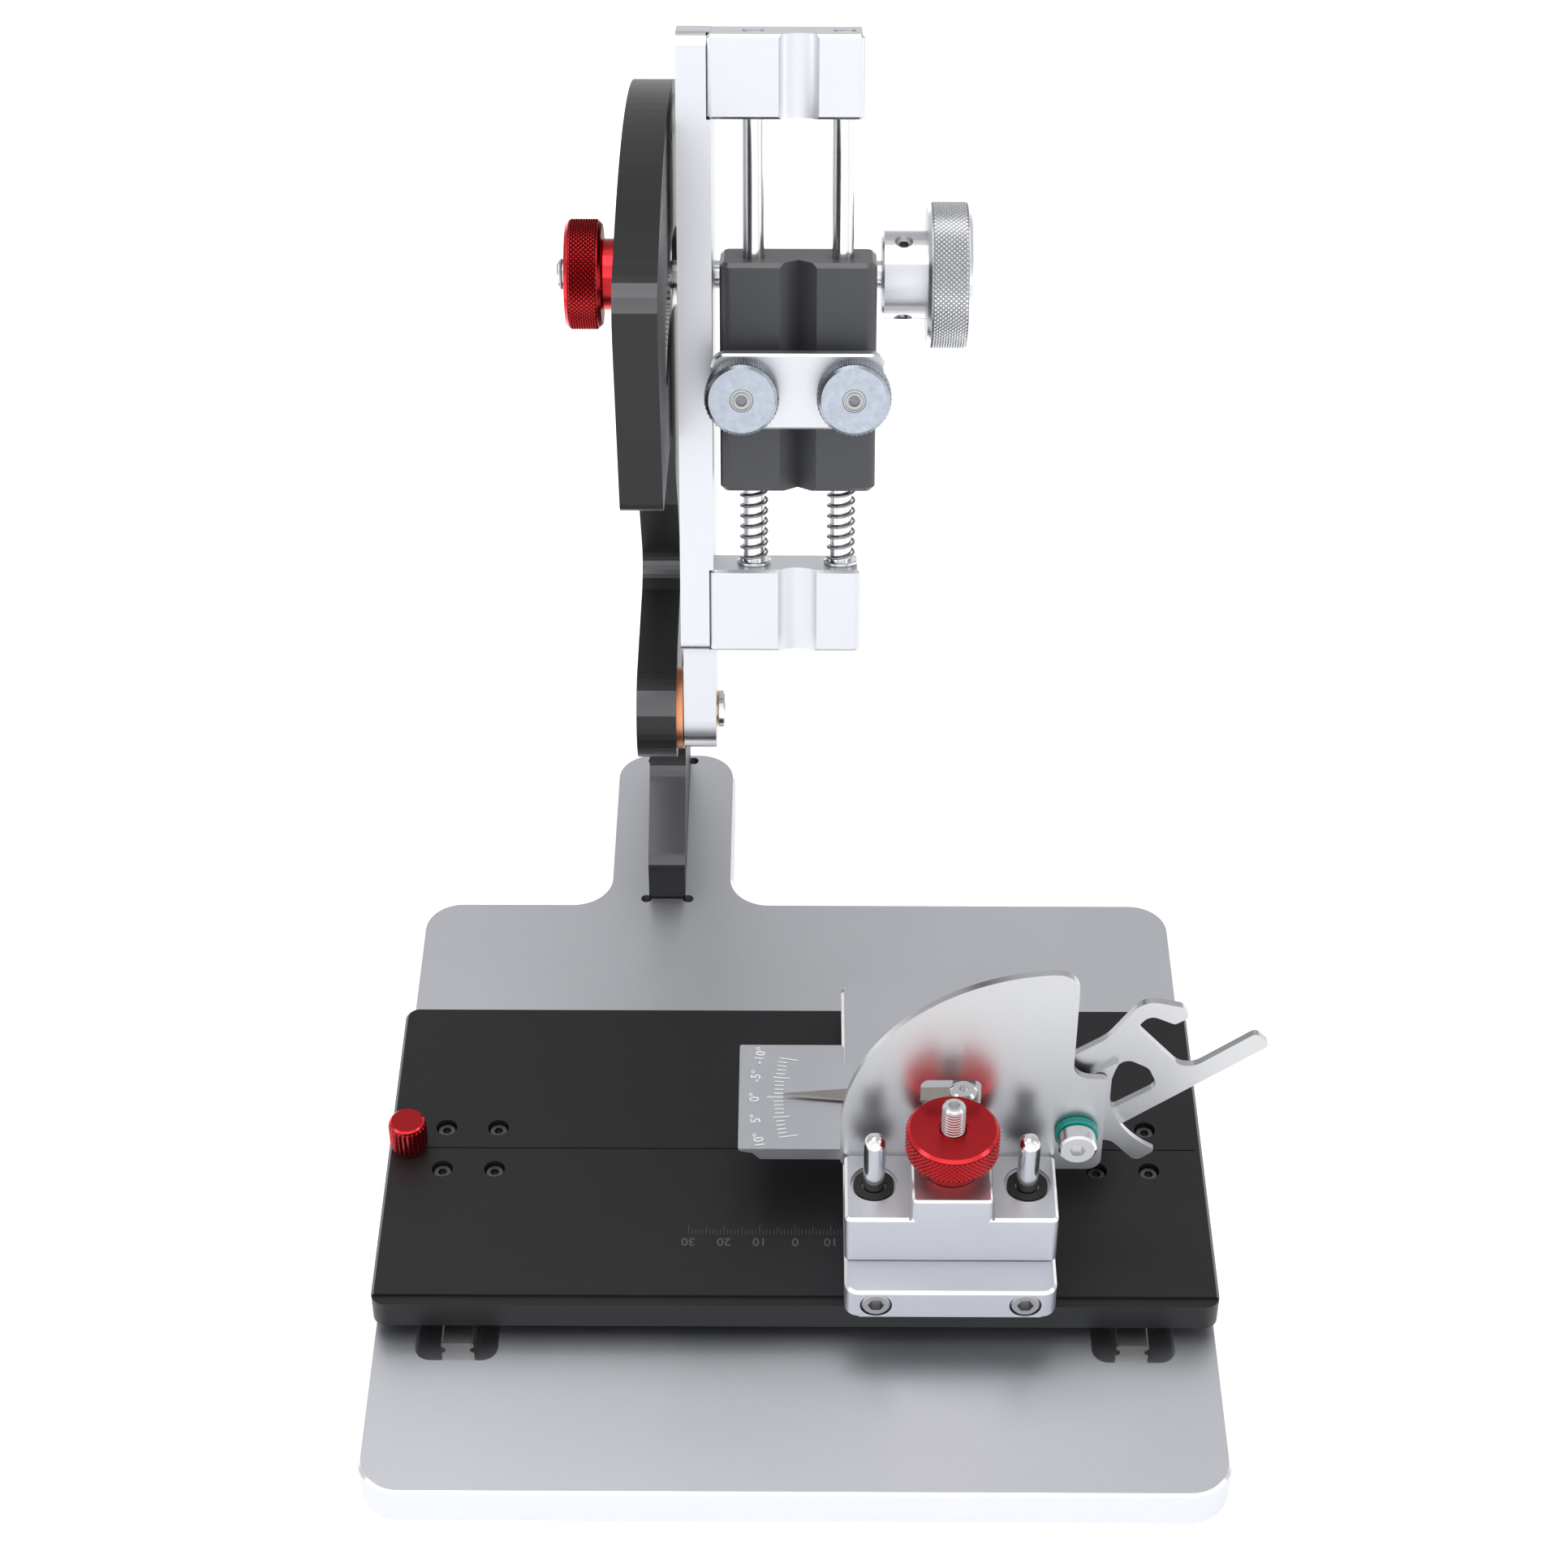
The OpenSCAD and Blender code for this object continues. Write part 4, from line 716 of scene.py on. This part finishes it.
class GAUGE_OT_lie_scale(bpy.types.Operator):
    """Letter the lie scale on the column's sector"""
    bl_idname = "gauge.lie_scale"
    bl_label = "Lie scale"

    def execute(self, context):
        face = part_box("column")[1].x
        ticks, labels = [], []
        for d in range(48, 93):
            long = 6.0 if d % 10 == 0 else 4.6 if d % 5 == 0 else 3.0
            x, y = polar((0, 0), (178.5 - long / 2) * MM, d)
            ticks.append((x, y, math.radians(d), long * MM, 0.22 * MM))
            if d % 5 == 0:
                x, y = polar((0, 0), 168.4 * MM, d)
                labels.append((str(d), x, y, math.radians(d - 90)))
        marks = scale_marks(ticks, labels, 0.04 * MM, 3.2 * MM)
        upright = Matrix(((0, 0, 1, face + LIFT), (1, 0, 0, PIVOT.y), (0, 1, 0, PIVOT.z),
                          (0, 0, 0, 1)))
        settle(marks, "lie_scale", "base", "grey_line", upright)
        return {"FINISHED"}


class GAUGE_OT_loft_scale(bpy.types.Operator):
    """Letter the loft scale on the back of the quadrant"""
    bl_idname = "gauge.loft_scale"
    bl_label = "Loft scale"

    def execute(self, context):
        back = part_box("loft_quadrant")[1].y
        joint = Vector(JOINTS["loft_swing"]["pos_m"])
        ticks, labels = [], []
        for d in range(96, 171):
            long = 4.6 if d % 10 == 0 else 3.6 if d % 5 == 0 else 2.2
            x, y = polar((0, 0), (57.8 - long / 2) * MM, 180 - d)
            ticks.append((x, y, math.radians(180 - d), long * MM, 0.16 * MM))
            if d % 10 == 0:
                x, y = polar((0, 0), 50.2 * MM, 180 - d)
                labels.append((str(d - 90), x, y, math.radians(90 - d)))
        marks = scale_marks(ticks, labels, 0.04 * MM, 2.4 * MM)
        behind = Matrix(((-1, 0, 0, joint.x - 4.7 * MM), (0, 0, 1, back + LIFT),
                         (0, 1, 0, joint.z - 0.2 * MM), (0, 0, 0, 1)))
        settle(marks, "loft_scale", "head", "grey_line", behind)
        return {"FINISHED"}


class GAUGE_OT_stage(bpy.types.Operator):
    """Lay the pale floor, hang the soft lights and set up the camera"""
    bl_idname = "gauge.stage"
    bl_label = "Stage"

    def execute(self, context):
        settings = bpy.context.scene.gauge_stage
        clear_selection()
        bpy.ops.mesh.primitive_plane_add(size=12, location=(0, 0, -0.0002))
        floor = bpy.context.object
        floor.name = "pale_floor"
        pale = Finish("pale_floor", roughness=0.75)
        cloud = pale.noise(1.5, 2.0)
        pale.paint(base_color=pale.mix(cloud, (0.93, 0.93, 0.93), (0.96, 0.96, 0.96)))
        pale.shader.inputs["Emission Color"].default_value = (1, 1, 1, 1)
        pale.shader.inputs["Emission Strength"].default_value = 0.42
        floor.data.materials.append(pale.material)
        world = bpy.data.worlds.new("white_room")
        world.use_nodes = True
        room = Nodes(world.node_tree)
        direction = room.node("ShaderNodeTexCoord").outputs["Generated"]
        depth = Value(room, room.node("ShaderNodeSeparateXYZ", sockets={0: direction}).outputs["Y"])
        seen = Value(room, room.node("ShaderNodeLightPath").outputs["Is Camera Ray"])
        strength = (depth * -settings.front).clamp() + settings.sky + seen * 0.6
        backdrop = world.node_tree.nodes["Background"]
        backdrop.inputs["Color"].default_value = (1, 1, 1, 1)
        world.node_tree.links.new(strength.socket, backdrop.inputs["Strength"])
        bpy.context.scene.world = world
        for name, place, aim, size, power in (
                ("top_light", (-0.25, 0.1, 1.5), (0, 0.02, 0.05), (1.3, 0.9), settings.key),
                ("left_light", (-1.3, -0.5, 0.8), (0, 0, 0.12), (0.5, 1.3), settings.fill),
                ("right_light", (1.3, -0.3, 0.7), (0, 0, 0.12), (0.35, 1.2), settings.fill * 0.8)):
            bpy.ops.object.light_add(type="AREA", location=place)
            light = bpy.context.object
            light.name = name
            light.data.shape = "RECTANGLE"
            light.data.size, light.data.size_y = size
            light.data.energy = power
            light.rotation_euler = (Vector(aim) - Vector(place)).to_track_quat("-Z", "Y").to_euler()
        bpy.ops.object.camera_add(location=(-0.00008, -0.6532, 0.7345),
                                  rotation=(math.radians(48.851), 0, math.radians(0.284)))
        camera = bpy.context.object
        camera.data.sensor_width = 36
        camera.data.lens = 76.04
        camera.data.clip_end = 50
        bpy.context.scene.camera = camera
        bpy.context.scene.view_settings.view_transform = "Standard"
        return {"FINISHED"}


class GAUGE_PT_panel(bpy.types.Panel):
    """The gauge's settings and its steps"""
    bl_idname = "GAUGE_PT_panel"
    bl_label = "Golf club angle gauge"
    bl_space_type = "VIEW_3D"
    bl_region_type = "UI"
    bl_category = "Gauge"

    def draw(self, context):
        for group in (context.scene.gauge_finishes, context.scene.gauge_details,
                      context.scene.gauge_stage):
            box = self.layout.box()
            for key in group.__annotations__:
                box.prop(group, key)
        for step in STEPS:
            self.layout.operator(step.bl_idname)


STEPS = (GAUGE_OT_finishes, GAUGE_OT_knurls, GAUGE_OT_thumb_cores, GAUGE_OT_springs,
         GAUGE_OT_threads, GAUGE_OT_table_scale,
         GAUGE_OT_face_scale, GAUGE_OT_lie_scale, GAUGE_OT_loft_scale, GAUGE_OT_stage)
GROUPS = (GaugeFinishes, GaugeDetails, GaugeStage)


def register():
    for made in GROUPS + STEPS + (GAUGE_PT_panel,):
        bpy.utils.register_class(made)
    bpy.types.Scene.gauge_finishes = PointerProperty(type=GaugeFinishes)
    bpy.types.Scene.gauge_details = PointerProperty(type=GaugeDetails)
    bpy.types.Scene.gauge_stage = PointerProperty(type=GaugeStage)


def unregister():
    del bpy.types.Scene.gauge_stage
    del bpy.types.Scene.gauge_details
    del bpy.types.Scene.gauge_finishes
    for made in reversed(GROUPS + STEPS + (GAUGE_PT_panel,)):
        bpy.utils.unregister_class(made)


def main():
    register()
    for step in STEPS:
        group, name = step.bl_idname.split(".")
        getattr(getattr(bpy.ops, group), name)()
    clear_selection()


if __name__ == "__main__":
    main()
